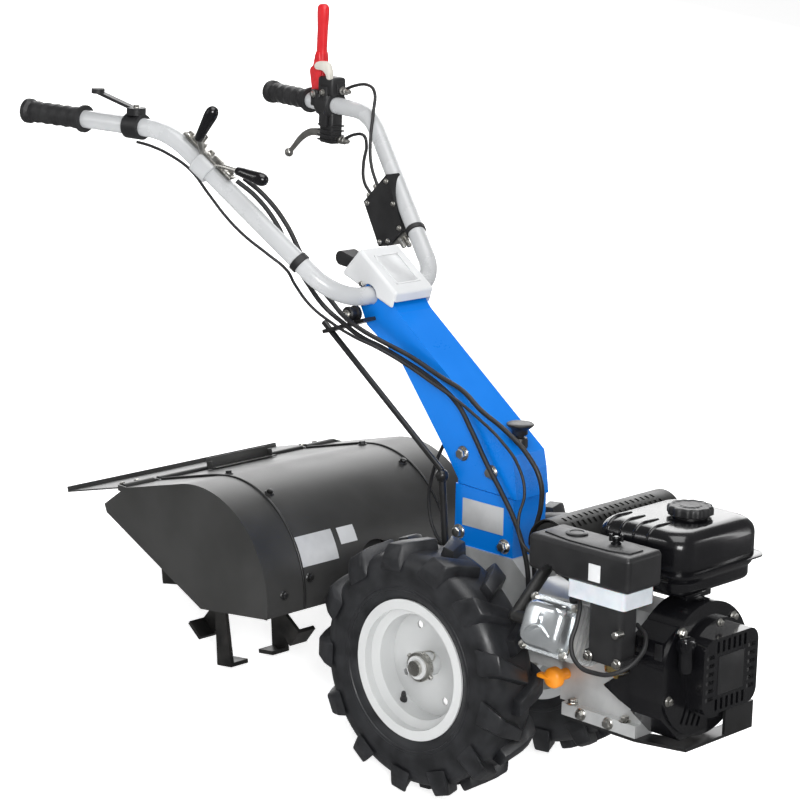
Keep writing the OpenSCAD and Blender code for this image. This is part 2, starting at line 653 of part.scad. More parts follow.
// Mushroom knob of the swivel lock, standing on the sloping web of the column
module column_knob() parked() color([0.05, 0.05, 0.05]) difference() {
    translate([base_front - 26, 0, base_top + 60]) {
        cylinder(h = 42, r = 10);
        translate([0, 0, 42]) cylinder(h = 5, r1 = 12, r2 = 21);
        translate([0, 0, 47]) cylinder(h = 4, r = 22);
    }
    side_plate(-side_y, side_y) polygon(column_side);
}

module height_lever() parked() color([0.06, 0.06, 0.06]) difference() {
    hull() {
        translate(pivot + [-58, 0, 38]) bar_y(-12, 12, 9);
        translate(pivot + [-96, 0, 46]) bar_y(-16, 16, 12);
    }
    cover_form();
}

module rod_bracket() parked() color([0.07, 0.07, 0.07]) difference() {
    side_plate(-side_y - 28, -side_y) polygon([
        pivot_xz + [10, -34], pivot_xz + [-86, -68], pivot_xz + [-84, -74], pivot_xz + [12, -40]]);
    rod(rod_top + 0.1 * (rod_top - rod_foot), rod_foot, 5 + pin_gap);
}

module shift_rod() parked() color([0.08, 0.08, 0.08]) {
    rod(rod_top + 0.06 * (rod_top - rod_foot), rod_foot, 5);
    translate(rod_foot + [0, 0, -8]) sphere(r = 11);
    rod(rod_foot + [0, 0, -8], [rod_foot[0] + 12, rod_foot[1], gearbox_top - 12], 6);
    translate([rod_foot[0] + 12, 0, gearbox_top - 12]) bar_y(rod_foot[1] - 8, -gearbox_w / 2, 8);
}

// Tiller drive: coupling tube from the gearbox and chain case down to the rotor
module tiller_gearcase() parked() color([0.16, 0.17, 0.18]) difference() {
    coupling_z = rotor_rise + 25;
    joint_x = -rotor_back + 122;
    union() {
        translate([0, 0, coupling_z]) bar_x(-rotor_back + tine_r + 16, -gearbox_rear, 36);
        translate([0, 0, coupling_z]) bar_x(-gearbox_rear - 14, -gearbox_rear, 52);
        side_plate(-gearcase_half, gearcase_half) {
            translate([joint_x, coupling_z]) circle(r = 46);
            translate([-rotor_back, rotor_rise]) circle(r = 46);
            polygon([[joint_x - 8, coupling_z + 45], [-rotor_back - 8, rotor_rise + 45],
                [-rotor_back + 8, rotor_rise - 45], [joint_x + 8, coupling_z - 45]]);
        }
        intersection() {
            translate([-rotor_back + 30, -gearcase_half, rotor_rise + 40])
                cube([60, 2 * gearcase_half, hood_r]);
            translate([-rotor_back, 0, rotor_rise]) bar_y(-hood_w, hood_w, hood_r - 0.2);
        }
    }
    translate([-rotor_back, 0, rotor_rise]) bar_y(-hood_w, hood_w, rotor_shaft_d / 2 + shaft_gap);
}

// Frame on the rotor axis: local Z runs along +Y, local X forward, local Y down
module rotor_axis() translate([-rotor_back, 0, rotor_rise]) rotate([-90, 0, 0]) children();

// Sheet of the hood between two widths: round over the rotor, then straight back to the hinge
module hood_sheet(y0, y1) {
    rotor_axis() rotate(-90 - hood_slope) rotate_extrude(angle = 90 + hood_slope + hood_dip)
        translate([hood_r, y0]) square([hood_t, y1 - y0]);
    translate([hood_crest[0], y0, hood_crest[1]]) rotate([0, -hood_slope, 0])
        translate([hood_gap - hinge_run, 0, bend_thin - hood_t])
            cube([hinge_run - hood_gap + bend_lap, y1 - y0, hood_t - 2 * bend_thin]);
}

module tiller_hood() parked() color([0.3, 0.31, 0.31]) difference() {
    hood_sheet(0.2 - wing_y, wing_y - 0.2);
    translate([0, 0, rotor_rise + 25]) bar_x(-rotor_back, -gearbox_rear, 44);
    translate([-rotor_back, -44, -hood_r]) cube([2 * hood_r, 88, hood_r + rotor_rise + 25]);
}

// End wing of the hood: a strip of the same sheet with the end plate
module hood_wing() {
    hood_sheet(wing_y, hood_half);
    intersection() {
        rotor_axis() translate([0, 0, hood_half - hood_t]) cylinder(h = hood_t, r = hood_r + hood_t / 2);
        side_plate(hood_half - 2 * hood_t, hood_half + hood_t) polygon([
            hood_crest + [0, hood_r], hood_crest - [0, 20], plate_low, plate_front,
            plate_front + [hood_r, 0], plate_front + [hood_r, 2 * hood_r]]);
    }
    side_plate(hood_half - hood_t, hood_half) polygon([hood_crest - [0, 1.5], [hinge[0] + hood_gap, hinge[1]],
        [hinge[0] - 42, hinge[1] - 36], [hinge[0] - 36, hinge[1] - 50], plate_low,
        [-rotor_back + 60, rotor_rise]]);
    translate([hinge[0], 0, hinge[1]]) bar_y(wing_y, hood_half, hinge_r);
    translate([hinge[0] - 5, hood_half - hood_t, hinge[1] - 5]) cube([22, hood_t, 10]);
    translate([hinge[0] - 4, wing_y, hinge[1] - 4]) cube([18, 4, 8]);
}

module hood_wing_left() parked() color([0.3, 0.31, 0.33]) hood_wing();
module hood_wing_right() parked() color([0.3, 0.31, 0.33]) left_side() hood_wing();

module rotor_frame() parked() translate(rotor) rotate([0, park_pitch, 0]) children();

module rotor_shaft() rotor_frame() color([0.2, 0.2, 0.2]) {
    bar_y(-rotor_half, rotor_half, rotor_shaft_d / 2);
    for (s = [-1, 1], i = [0:tine_rows - 1]) translate([0, s * flange_y(i), 0])
        bar_y(-flange_t / 2, flange_t / 2, 46);
}

function flange_y(i) = gearcase_half + foot_len + 10 + row_step * i;

// One bolted tine: a flat arm on one face of the flange and a foot bent along the shaft
module tine() translate([0, flange_t / 2, 0]) {
    rotate([90, 0, 0]) mirror([0, 0, 1]) linear_extrude(tine_t)
        polygon([[-12, -30], [12, -30], [tine_w / 2, -tine_r], [-tine_w / 2, -tine_r]]);
    translate([-tine_w / 2, 0, -tine_r]) cube([tine_w, foot_len, tine_t]);
}

// Rows of four tines, every second row turned half a step. The outer row bends inward only.
module tine_set() for (i = [0:tine_rows - 1], k = [0:3]) translate([0, flange_y(i), 0])
    rotate([0, tine_step * (i % 2 - 0.5) + 90 * k, 0])
        mirror([0, k % 2 == 1 || i == tine_rows - 1 ? 1 : 0, 0]) tine();

module tines_left() rotor_frame() color([0.2, 0.2, 0.2]) tine_set();
module tines_right() rotor_frame() color([0.2, 0.2, 0.2]) left_side() tine_set();

// Rear flap: a plate that carries on the slope of the hood, hung on two barrels
module rear_flap() parked() color([0.28, 0.29, 0.29]) translate([hinge[0], 0, hinge[1]]) difference() {
    union() {
        rotate([0, -hood_slope, 0]) {
            translate([-flap_len, -flap_half, -hood_t / 2]) cube([flap_len - 12, 2 * flap_half, hood_t]);
            translate([-flap_len, -flap_half, -hood_t / 2]) cube([hood_t, 2 * flap_half, 10]);
            for (s = [-1, 1]) translate([-16, s * (wing_y + hood_half - 4) / 2 - 30, -hood_t / 2])
                cube([16, 60, hood_t]);
        }
        for (s = [-1, 1]) translate([0, s * (wing_y + hood_half + 2) / 2, 0]) bar_y(-33, 33, barrel_r);
    }
    bar_y(-hood_w, hood_w, hinge_r + pin_gap);
}

// Handlebar: one tube through the column, swept back and up to the two grips
module handlebar_half() {
    t1 = bend_trim(pivot, bar_yoke, bar_elbow, yoke_bend);
    t2 = bend_trim(bar_yoke, bar_elbow, bar_end, elbow_bend);
    rise = unit(bar_elbow - bar_yoke);
    back = unit(bar_end - bar_elbow);
    elbow(pivot, bar_yoke, bar_elbow, yoke_bend, tube_r - bend_thin);
    rod(bar_yoke + (t1 - bend_lap) * rise, bar_elbow - (t2 - bend_lap) * rise, tube_r);
    elbow(bar_yoke, bar_elbow, bar_end, elbow_bend, tube_r - bend_thin);
    rod(bar_elbow + (t2 - bend_lap) * back, bar_end, tube_r);
}

module handlebar() parked() color([0.86, 0.87, 0.88]) {
    straight = yoke_y - bend_trim(pivot, bar_yoke, bar_elbow, yoke_bend) + bend_lap;
    translate(pivot) bar_y(-straight, straight, tube_r);
    handlebar_half();
    left_side() handlebar_half();
}

// Rubber grip with a collar, five waves under the fingers and a closed end
module grip() on_handle(handle_len - grip_len) color([0.06, 0.06, 0.06]) rotate([0, 90, 0]) rotate_extrude()
    polygon(concat([[tube_r + 0.1, 0], [grip_d / 2 + 4, 0], [grip_d / 2 + 4, 5]],
        [for (i = [0:10]) [grip_d / 2 - (i % 2 == 0 ? 2 : 0.5), 9 + i * (grip_len - 22) / 10]],
        [[grip_rim, grip_len - 8], [grip_rim, grip_len], [0, grip_len + 4], [0, grip_len + 0.1],
            [tube_r + 0.1, grip_len + 0.1]]));

module grip_right() parked() grip();
module grip_left() parked() left_side() grip();

module throttle_control() parked() color([0.06, 0.06, 0.06]) on_handle(72) {
    difference() {
        bar_x(-16, 16, tube_r + 6);
        bar_x(-17, 17, tube_r + 0.1);
    }
    translate([0, 0, tube_r + 4]) cylinder(h = 12, r = 16);
    translate([0, -5, tube_r + 10]) rotate([0, -14, 0]) cube([88, 12, 5]);
    translate([84, 1, tube_r + 31]) cylinder(h = 8, r = 11);
}

// Frame on the slanted straight of the right handle, a distance below its upper bend
module on_rise(s) {
    d = unit(bar_elbow - bar_yoke);
    translate(bar_elbow - s * d) rotate([0, -asin(d[2]), atan2(d[1], d[0])]) children();
}

// Plate with the two gear levers, clamped on the slanted straight
module gear_levers() parked() {
    creep = bar_elbow + [136, 31, -54];
    color([0.75, 0.75, 0.75]) {
        on_rise(84) {
            difference() {
                bar_x(-16, 16, tube_r + 5);
                bar_x(-17, 17, tube_r + 0.1);
            }
            translate([-50, -12, tube_r + 3]) cube([110, 24, 5]);
        }
        rod(bar_elbow + [63, 18, -31], bar_elbow + [67, 6, -4], 5);
        rod(bar_elbow + [84, 26, -49], creep, 4);
    }
    color([0.06, 0.06, 0.06]) {
        rod(bar_elbow + [65, 6, -8], bar_elbow + [100, 6, 40], 9);
        translate(bar_elbow + [100, 6, 40]) sphere(r = 11);
        rod(creep - [4, 0, -1], bar_elbow + [182, 40, -63], 8);
        translate(bar_elbow + [182, 40, -63]) sphere(r = 10);
    }
}

// Clutch housing clamped on the left handle, with its three levers
module clutch_housing() parked() color([0.06, 0.06, 0.06]) left_side() on_handle(124) difference() {
    union() {
        bar_x(-20, 20, tube_r + 9);
        translate([-24, -16, -70]) cube([44, 34, 130]);
    }
    bar_x(-40, 40, tube_r + 0.1);
}

module clutch_lever() parked() color([0.85, 0.05, 0.08]) left_side() on_handle(124) hull() {
    translate([32, 0, 48]) bar_y(-10, 10, 12);
    translate([30, 0, 176]) bar_y(-8, 8, 10);
}

module lever_latch() parked() color([0.9, 0.88, 0.82]) left_side() on_handle(124)
    translate([-16, -10, 60]) cube([34, 22, 16]);

module reverse_lever() parked() color([0.75, 0.76, 0.77]) left_side() on_handle(124) {
    rod([20, 0, -60], [74, 0, -60], 6);
    rod([74, 0, -60], [128, 0, -104], 6);
    translate([74, 0, -60]) sphere(r = 6.6);
    translate([128, 0, -104]) sphere(r = 9);
}

// Flat box where the clutch cables part, held against the inner side of the left tube
module cable_box() parked() color([0.08, 0.08, 0.08]) difference() {
    side_plate(150, 182) polygon([for (p = box_corners) pivot_xz + p]);
    left_side() rod(bar_yoke, bar_elbow, tube_r + 0.1);
}

// Smooth route through a list of points, with n steps between each two
function middle_point(a, b, c, d, t) = b + 0.5 * t * (c - a + t * (2 * a - 5 * b + 4 * c - d
    + t * (3 * b - a - 3 * c + d)));
function smooth_route(p, n) = [for (i = [0:len(p) - 2], k = [0:n - 1])
    middle_point(p[max(i - 1, 0)], p[i], p[i + 1], p[min(i + 2, len(p) - 1)], k / n), p[len(p) - 1]];

// Round cable along a route, with rings of eight corners
module cable(route, n, r) {
    path = smooth_route(route, n);
    last = len(path) - 1;
    rings = [for (i = [0:last])
        let (t = unit(path[min(i + 1, last)] - path[max(i - 1, 0)]),
            a = unit(cross([0, 1, 0], t)), b = cross(t, a))
            each [for (k = [0:7]) path[i] + r * (cos(45 * k) * a + sin(45 * k) * b)]];
    polyhedron(points = rings, faces = concat([[for (k = [0:7]) k]], [[for (k = [7:-1:0]) 8 * last + k]],
        [for (i = [0:last - 1], k = [0:7]) let (j = 8 * i, l = (k + 1) % 8)
            each [[j + k, j + 8 + k, j + 8 + l], [j + k, j + 8 + l, j + l]]]));
}

// Two cables from the clutch housing to the cable box
module clutch_cables() parked() color([0.05, 0.05, 0.05]) {
    cable([for (p = upper_loop) pivot + p], 3, 3);
    cable([for (p = lower_loop) pivot + p], 3, 3);
}

// Cables from the levers and the throttle, down the column to the bell housing, the gearbox and the engine
module control_cables() parked() color([0.05, 0.05, 0.05]) {
    cable(concat([for (p = inner_run) pivot + p], clutch_run), 3, 4);
    cable(concat([for (p = lever_run) pivot + p], gear_run), 3, 4);
    cable(concat([for (p = throttle_run) pivot + p], engine_run), 3, 2.5);
}

module gearbox_cable() parked() color([0.05, 0.05, 0.05]) cable(rear_run, 3, 3);

// Spark plug lead looped from the fan housing round the filter body to the head
module plug_lead() parked() color([0.05, 0.05, 0.05]) cable(plug_run, 3, 3.5);

tyre_right();
rim_right();
axle_right();
tyre_left();
rim_left();
axle_left();
gearbox_housing();
bell_housing();
engine_block();
cylinder_barrel();
valve_cover();
fan_housing();
recoil_starter();
fuel_tank();
fuel_cap();
air_filter_cover();
air_filter_band();
air_filter_body();
carburettor();
muffler();
muffler_guard();
oil_dipstick();
front_guard();
column_base();
column();
column_cover();
column_knob();
height_lever();
rod_bracket();
shift_rod();
tiller_gearcase();
tiller_hood();
hood_wing_right();
hood_wing_left();
rotor_shaft();
tines_right();
tines_left();
rear_flap();
handlebar();
grip_right();
grip_left();
throttle_control();
gear_levers();
clutch_housing();
clutch_lever();
lever_latch();
reverse_lever();
cable_box();
clutch_cables();
control_cables();
gearbox_cable();
plug_lead();
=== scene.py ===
# %% [markdown]
# A walking tractor has one axle, an engine in front, a tall column with a swept handlebar, and a
# rotary tiller behind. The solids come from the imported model. This script lights them, gives each
# one the finish of the real machine and models the small pieces that make it look used and bolted.

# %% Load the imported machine
import bpy
import json
import math
from contextlib import contextmanager
from mathutils import Matrix, Vector


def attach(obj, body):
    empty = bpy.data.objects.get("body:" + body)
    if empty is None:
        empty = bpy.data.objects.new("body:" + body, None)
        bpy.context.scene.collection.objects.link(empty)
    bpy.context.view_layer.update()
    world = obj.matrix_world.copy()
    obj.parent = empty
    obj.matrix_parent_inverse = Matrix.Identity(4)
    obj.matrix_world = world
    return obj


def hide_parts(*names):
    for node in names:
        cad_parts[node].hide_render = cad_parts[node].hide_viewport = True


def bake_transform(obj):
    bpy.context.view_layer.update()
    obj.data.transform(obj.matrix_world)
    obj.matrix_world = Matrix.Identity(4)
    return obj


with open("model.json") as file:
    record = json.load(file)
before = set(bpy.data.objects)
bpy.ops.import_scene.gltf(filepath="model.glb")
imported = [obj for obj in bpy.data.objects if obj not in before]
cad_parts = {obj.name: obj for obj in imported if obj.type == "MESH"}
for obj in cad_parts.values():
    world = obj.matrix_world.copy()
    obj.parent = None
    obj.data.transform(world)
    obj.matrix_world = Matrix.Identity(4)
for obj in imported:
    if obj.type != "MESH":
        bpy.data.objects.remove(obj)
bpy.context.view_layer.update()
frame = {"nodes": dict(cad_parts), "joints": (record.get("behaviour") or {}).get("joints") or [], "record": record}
nodes = frame["nodes"]
joints = {j["name"]: Vector(j["pos_m"]) for j in frame["joints"]}
slots = {p["node"]: p["material_slot"] for p in frame["record"]["subparts"]}
link = bpy.context.scene.collection.objects.link

# %% [markdown]
# The machine is stored as it parks: leaning back with its tines on the floor. Pieces are easier to
# model on a level machine with its origin at the axle, so one matrix, found from the axle and the
# crossing tube of the handlebar, carries every new mesh to the parked place.

# %% From the level machine to the parked one
CROSSING = Vector((-250, 0, 546))
axle = joints["wheel_right_spin"] * Vector((1, 0, 1))
crossing = joints["handlebar_tilt"] - axle
level_crossing = Vector([v / 1000 for v in CROSSING])
pitch = math.atan2(crossing.z, crossing.x) - math.atan2(level_crossing.z, level_crossing.x)
PARK = Matrix.Translation(axle) @ Matrix.Rotation(-pitch, 4, "Y")


print("pitch", round(math.degrees(pitch), 3))

# %% [markdown]
# The picture was taken with a long lens from the front right. The camera goes where that view of the
# level machine was, and is then carried along with the parked machine, so the machine fills the
# frame in the same way while the floor stays level.

# %% Camera
eye, look = Vector((2.5865, -2.8630, 1.2883)), Vector((-0.2234, 0.0070, 0.3677))
roll = math.radians(1.21)
focal_pixels, picture_pixels, sensor_mm = 2489.3, 800, 36
view_turn = (look - eye).to_track_quat("-Z", "Y").to_matrix().to_4x4()
camera_data = bpy.data.cameras.new("camera")
camera_data.sensor_width = sensor_mm
camera_data.lens = focal_pixels * sensor_mm / picture_pixels
camera = bpy.data.objects.new("camera", camera_data)
link(camera)
camera.matrix_world = PARK @ Matrix.Translation(eye) @ view_turn @ Matrix.Rotation(roll, 4, "Z")
bpy.context.scene.camera = camera
print("camera at", [round(v, 3) for v in camera.matrix_world.translation])

# %% [markdown]
# A studio lights black and white parts at once. A broad key light stands beside the camera, where
# upright glossy faces can't mirror it. A tall white wall behind shines along the flat tops, which
# therefore look pale, and it goes on below the floor, where only glossy faces find it: the rear flap
# takes its shine from there. A panel above models the tubes, and two strips draw edges on the black.

# %% Light
MACHINE_MIDDLE = Vector((0, 0, 0.4))


def panel(name, place, width, height, power):
    """A rectangular studio light in metres and watts, facing the middle of the machine."""
    data = bpy.data.lights.new(name, "AREA")
    data.shape = "RECTANGLE"
    data.size, data.size_y, data.energy = width, height, power
    lamp = bpy.data.objects.new(name, data)
    link(lamp)
    lamp.location = place
    lamp.visible_camera = False
    lamp.rotation_euler = (MACHINE_MIDDLE - Vector(place)).to_track_quat("-Z", "Y").to_euler()


panel("key", (2.9, -2.9, 2.9), 2.0, 1.6, 150)
panel("back_wall", (-3.4, 3.4, 1.9), 5.0, 3.0, 140)
panel("far_floor", (-3.0, 3.0, -0.75), 5.0, 1.9, 55)
panel("top_panel", (-0.2, -0.2, 3.3), 2.2, 2.2, 54)
panel("left_strip", (2.4, 2.8, 1.5), 0.25, 2.2, 10)
panel("right_strip", (-2.4, -3.0, 1.6), 0.25, 2.2, 12)
world = bpy.data.worlds.new("studio")
bpy.context.scene.world = world
world.use_nodes = True
room = world.node_tree.nodes["Background"].inputs
room["Color"].default_value = (1, 1, 1, 1)
room["Strength"].default_value = 0.18
bpy.context.scene.view_settings.view_transform = "Standard"
print("lights", len(bpy.data.lights))

# %% [markdown]
# A finish is more than a colour. The little class below wraps a shader socket, so that a mask can be
# written as a sum, and the larger one holds one material: its node method adds any node with its
# settings first and its sockets after, and feed joins a result to the surface shader.

# %% A small language for finishes
class Value:
    """A shader socket that takes part in sums and products."""

    def __init__(self, finish, socket):
        self.finish, self.socket = finish, socket

    def sum(self, operation, other):
        return self.finish.node("ShaderNodeMath", {"operation": operation}, {0: self, 1: other})

    def __add__(self, other):
        return self.sum("ADD", other)

    def __mul__(self, other):
        return self.sum("MULTIPLY", other)

    __radd__, __rmul__ = __add__, __mul__


class Finish:
    """One material around a Principled surface."""

    def __init__(self, name, **fixed):
        self.material = bpy.data.materials.new(name)
        self.material.use_nodes = True
        self.tree = self.material.node_tree
        self.surface = self.tree.nodes["Principled BSDF"]
        for socket, value in fixed.items():
            self.surface.inputs[socket.replace("_", " ")].default_value = value
        self.place = self.node("ShaderNodeTexCoord", out="Object")

    def node(self, kind, settings=None, sockets=None, out=0):
        """Any node, with its settings first and its sockets after, as links or plain values."""
        made = self.tree.nodes.new(kind)
        for key, value in (settings or {}).items():
            setattr(made, key, value)
        for key, value in (sockets or {}).items():
            if isinstance(value, Value):
                self.tree.links.new(value.socket, made.inputs[key])
            else:
                made.inputs[key].default_value = value
        return Value(self, made.outputs[out])

    def feed(self, socket, value):
        """Join a result to the surface shader."""
        self.tree.links.new(value.socket, self.surface.inputs[socket])

    def noise(self, scale, detail):
        """Noise with about that many cells to a metre."""
        sockets = {"Vector": self.place, "Scale": scale, "Detail": detail}
        return self.node("ShaderNodeTexNoise", None, sockets, "Fac")

    def between(self, mask, low, high):
        """Colour from low to high as the mask goes from 0 to 1. A Mix node numbers its colour sockets."""
        return self.node("ShaderNodeMix", {"data_type": "RGBA"}, {0: mask, 6: (*low, 1), 7: (*high, 1)}, 2)

    def clip(self, value, low, high):
        """A value stretched so that low becomes 0 and high becomes 1."""
        return self.node("ShaderNodeMapRange", None, {"Value": value, "From Min": low, "From Max": high})

    def grain(self, height, depth):
        """Small relief from a height, in metres."""
        bump = {"Strength": 1.0, "Distance": depth, "Height": height}
        self.feed("Normal", self.node("ShaderNodeBump", None, bump))


def painted(name, low, high, rough, patch, depth, grit, **fixed):
    """A surface whose colour, gloss and fine relief wander as on a real one.

    Low and high are colours, rough is the range of roughness, patch and grit are the cells of the
    coarse and the fine noise to a metre, and depth is the relief in metres.
    """
    finish = Finish(name, **fixed)
    wander = finish.clip(finish.noise(patch, 3), 0.35, 0.65)
    finish.feed("Base Color", finish.between(wander, low, high))
    fine = finish.noise(grit, 2)
    finish.feed("Roughness", rough[0] + (rough[1] - rough[0]) * (0.6 * wander + 0.4 * fine))
    finish.grain(fine, depth)
    return finish


# %% [markdown]
# The floor is a sheet of pale studio paper that glows a little, so that it stays even to its far edge.
# It is a large plane, divided a few times, with only the faint mottle of paper. Mirror-like faces
# don't see it, because in a studio the black parts are kept from mirroring a white floor.

# %% Floor
floor_finish = painted("studio_floor", (0.88, 0.88, 0.88), (0.91, 0.91, 0.91), (0.7, 0.8), 2, 0.0002, 60,
                       Emission_Color=(1, 1, 1, 1), Emission_Strength=0.75)
floor_size, floor_drop = 300, 0.0005
bpy.ops.mesh.primitive_plane_add(size=floor_size, location=(0, 0, -floor_drop))
floor = bpy.context.active_object
floor.name = "studio_floor"
bpy.ops.object.mode_set(mode="EDIT")
bpy.ops.mesh.subdivide(number_cuts=3)
bpy.ops.object.mode_set(mode="OBJECT")
floor.data.materials.append(floor_finish.material)
floor.visible_glossy = False
floor.select_set(False)
print("floor faces", len(floor.data.polygons))

# %% [markdown]
# Each slot of the record gets its finish. Paint has the faint skin of sprayed lacquer, and moulded
# plastic has a leather-like grain. All patterns read the object's own coordinates in metres, so
# their scale is true and they turn with their body. Colours here are the share of light that the
# surface sends back, which is why white paint is written as about one half.

# %% Paint, plastic and rubber
paints = {
    "tyre": [(0.011, 0.0115, 0.013), (0.022, 0.023, 0.026), (0.26, 0.52), 30, 0.0002, 700],
    "wheel_paint": [(0.54, 0.55, 0.55), (0.58, 0.59, 0.59), (0.26, 0.38), 14, 0.00005, 320],
    "black_gloss": [(0.003, 0.003, 0.004), (0.006, 0.006, 0.007), (0.14, 0.24), 12, 0.00002, 260],
    "black_plastic": [(0.011, 0.011, 0.012), (0.018, 0.018, 0.019), (0.34, 0.5), 25, 0.00012, 1500],
    "milky_plastic": [(0.52, 0.56, 0.60), (0.62, 0.65, 0.68), (0.25, 0.4), 30, 0.00005, 500],
    "black_heat_paint": [(0.010, 0.010, 0.010), (0.018, 0.018, 0.017), (0.36, 0.52), 30, 0.00015, 1100],
    "orange_plastic": [(0.80, 0.25, 0.01), (0.88, 0.30, 0.015), (0.28, 0.4), 60, 0.00005, 900],
    "black_paint": [(0.010, 0.010, 0.010), (0.016, 0.016, 0.017), (0.26, 0.4), 20, 0.00005, 500],
    "blue_paint": [(0.0, 0.175, 0.68), (0.001, 0.195, 0.74), (0.24, 0.34), 9, 0.00003, 320],
    "grey_plastic": [(0.64, 0.65, 0.66), (0.69, 0.70, 0.71), (0.34, 0.46), 18, 0.00006, 900],
    "dark_paint": [(0.046, 0.046, 0.045), (0.062, 0.062, 0.061), (0.30, 0.42), 8, 0.00005, 420],
    "tube_paint": [(0.46, 0.47, 0.48), (0.50, 0.51, 0.52), (0.20, 0.32), 12, 0.00004, 350],
    "rubber": [(0.012, 0.012, 0.013), (0.020, 0.020, 0.021), (0.40, 0.6), 40, 0.00015, 1300],
    "red_plastic": [(0.56, 0.008, 0.014), (0.64, 0.014, 0.020), (0.26, 0.38), 30, 0.00005, 900],
    "cream_plastic": [(0.60, 0.58, 0.52), (0.66, 0.64, 0.58), (0.34, 0.46), 40, 0.00005, 900],
}
lustre = {
    "black_gloss": dict(Coat_Weight=0.25, Specular_IOR_Level=0.45),
    "milky_plastic": dict(Subsurface_Weight=0.25, Subsurface_Scale=0.01),
    "blue_paint": dict(Coat_Weight=0.1, Coat_Roughness=0.08, Specular_IOR_Level=0.25),
    "dark_paint": dict(Metallic=0.35),
    "tube_paint": dict(Coat_Weight=0.2),
}
finishes = {name: painted(name, *row, **lustre.get(name, {})) for name, row in paints.items()}
print("paints and plastics", len(finishes))

# %% [markdown]
# Bare metal sends the room back, so its look comes from roughness. Zinc is patchy where the bath
# left it uneven, cast aluminium is grainy and dull, pressed cover metal is bright, and the tines
# wear through their dark paint in blotches. The last number of a row is the share of metal in it.
# Brass and the two tones of plain plates belong to no slot, and single pieces ask for them.

# %% Bare and plated metal
metals = {
    "steel": [(0.44, 0.43, 0.40), (0.62, 0.61, 0.58), (0.22, 0.42), 60, 0.00005, 800, 1.0],
    "cast_aluminium": [(0.52, 0.53, 0.53), (0.66, 0.67, 0.67), (0.34, 0.5), 18, 0.0001, 600, 0.5],
    "bright_cover": [(0.76, 0.80, 0.82), (0.84, 0.88, 0.90), (0.16, 0.26), 20, 0.000002, 300, 0.9],
    "carburettor_metal": [(0.42, 0.41, 0.38), (0.52, 0.50, 0.45), (0.34, 0.5), 40, 0.0002, 700, 0.9],
    "dark_steel": [(0.018, 0.018, 0.018), (0.045, 0.043, 0.041), (0.34, 0.55), 25, 0.00015, 500, 0.5],
    "brass": [(0.60, 0.44, 0.17), (0.68, 0.52, 0.24), (0.2, 0.34), 50, 0.00004, 600, 1.0],
    "blank_silver": [(0.60, 0.61, 0.62), (0.66, 0.67, 0.68), (0.3, 0.42), 40, 0.00002, 900, 0.25],
    "blank_white": [(0.62, 0.63, 0.64), (0.66, 0.67, 0.68), (0.3, 0.42), 40, 0.00002, 900, 0.0],
}
for name, (*row, share) in metals.items():
    finishes[name] = painted(name, *row, Metallic=share)
for node, solid in nodes.items():
    solid.data.materials.clear()
    solid.data.materials.append(finishes[slots[node]].material)
print("finishes", len(finishes))

# %% [markdown]
# By hand, most small parts of a machine start as a disc, a box, a flat outline or a path. These
# helpers do what a modeller does with each: draw the start, go into edit mode, extrude, scale, spin
# or bevel it, and merge what meets. They work in millimetres on the level machine.

# %% Hands for modelling
MM = PARK @ Matrix.Scale(0.001, 4)


@contextmanager
def edit(merge=0.001):
    """Edit mode, all selected. On leaving, corners closer than merge become one and faces turn outwards."""
    bpy.ops.object.mode_set(mode="EDIT")
    bpy.ops.mesh.select_all(action="SELECT")
    yield
    bpy.ops.mesh.select_all(action="SELECT")
    if merge:
        bpy.ops.mesh.remove_doubles(threshold=merge)
    bpy.ops.mesh.normals_make_consistent(inside=False)
    bpy.ops.object.mode_set(mode="OBJECT")


def alone(piece):
    """Select one piece and nothing else."""
    bpy.ops.object.select_all(action="DESELECT")
    piece.select_set(True)
    bpy.context.view_layer.objects.active = piece


def fresh(data):
    """A new object around a mesh or curve, alone in the selection."""
    piece = bpy.data.objects.new(data.name, data)
    link(piece)
    alone(piece)
    return piece


def drawn(corners, edges, faces):
    """A new mesh from given corners."""
    mesh = bpy.data.meshes.new("drawn")
    mesh.from_pydata(corners, edges, faces)
    return fresh(mesh)


def spun(outline, steps=48):
    """A ring: a closed outline of [radius, height] pairs spun once round Z."""
    count = len(outline)
    drawn([(r, 0, z) for r, z in outline], [(i, (i + 1) % count) for i in range(count)], [])
    with edit():
        bpy.ops.mesh.spin(steps=steps, angle=math.tau, center=(0, 0, 0), axis=(0, 0, 1))
    return bpy.context.active_object


def block(low, high, soft=2.0, rounds=2):
    """A box between two corners with rounded edges."""
    low, high = Vector(low), Vector(high)
    middle = (low + high) / 2
    bpy.ops.mesh.primitive_cube_add(size=1, location=middle)
    with edit():
        bpy.ops.transform.resize(value=tuple(high - low), center_override=tuple(middle))
        bpy.ops.mesh.bevel(offset=soft, segments=rounds, affect="EDGES")
    return bpy.context.active_object


def plate(outline, low, high, soft=1.0, rounds=2):
    """A flat outline of [x, y] points, thickened from low to high along Z, with rounded edges."""
    raised(outline, [(low, 1, 1), (high, 1, 1)])
    with edit():
        bpy.ops.mesh.bevel(offset=soft, segments=rounds, affect="EDGES")
    return bpy.context.active_object


def soft_rect(wide, deep, bend):
    """The outline of a rectangle with round corners, about its middle."""
    turns = [math.radians(a) for a in range(0, 91, 15)]
    spots = []
    for k, (sx, sy) in enumerate(((1, 1), (-1, 1), (-1, -1), (1, -1))):
        middle = Vector((sx * (wide / 2 - bend), sy * (deep / 2 - bend)))
        for angle in [t + k * math.pi / 2 for t in turns]:
            spots.append(tuple(middle + bend * Vector((math.cos(angle), math.sin(angle)))))
    return spots


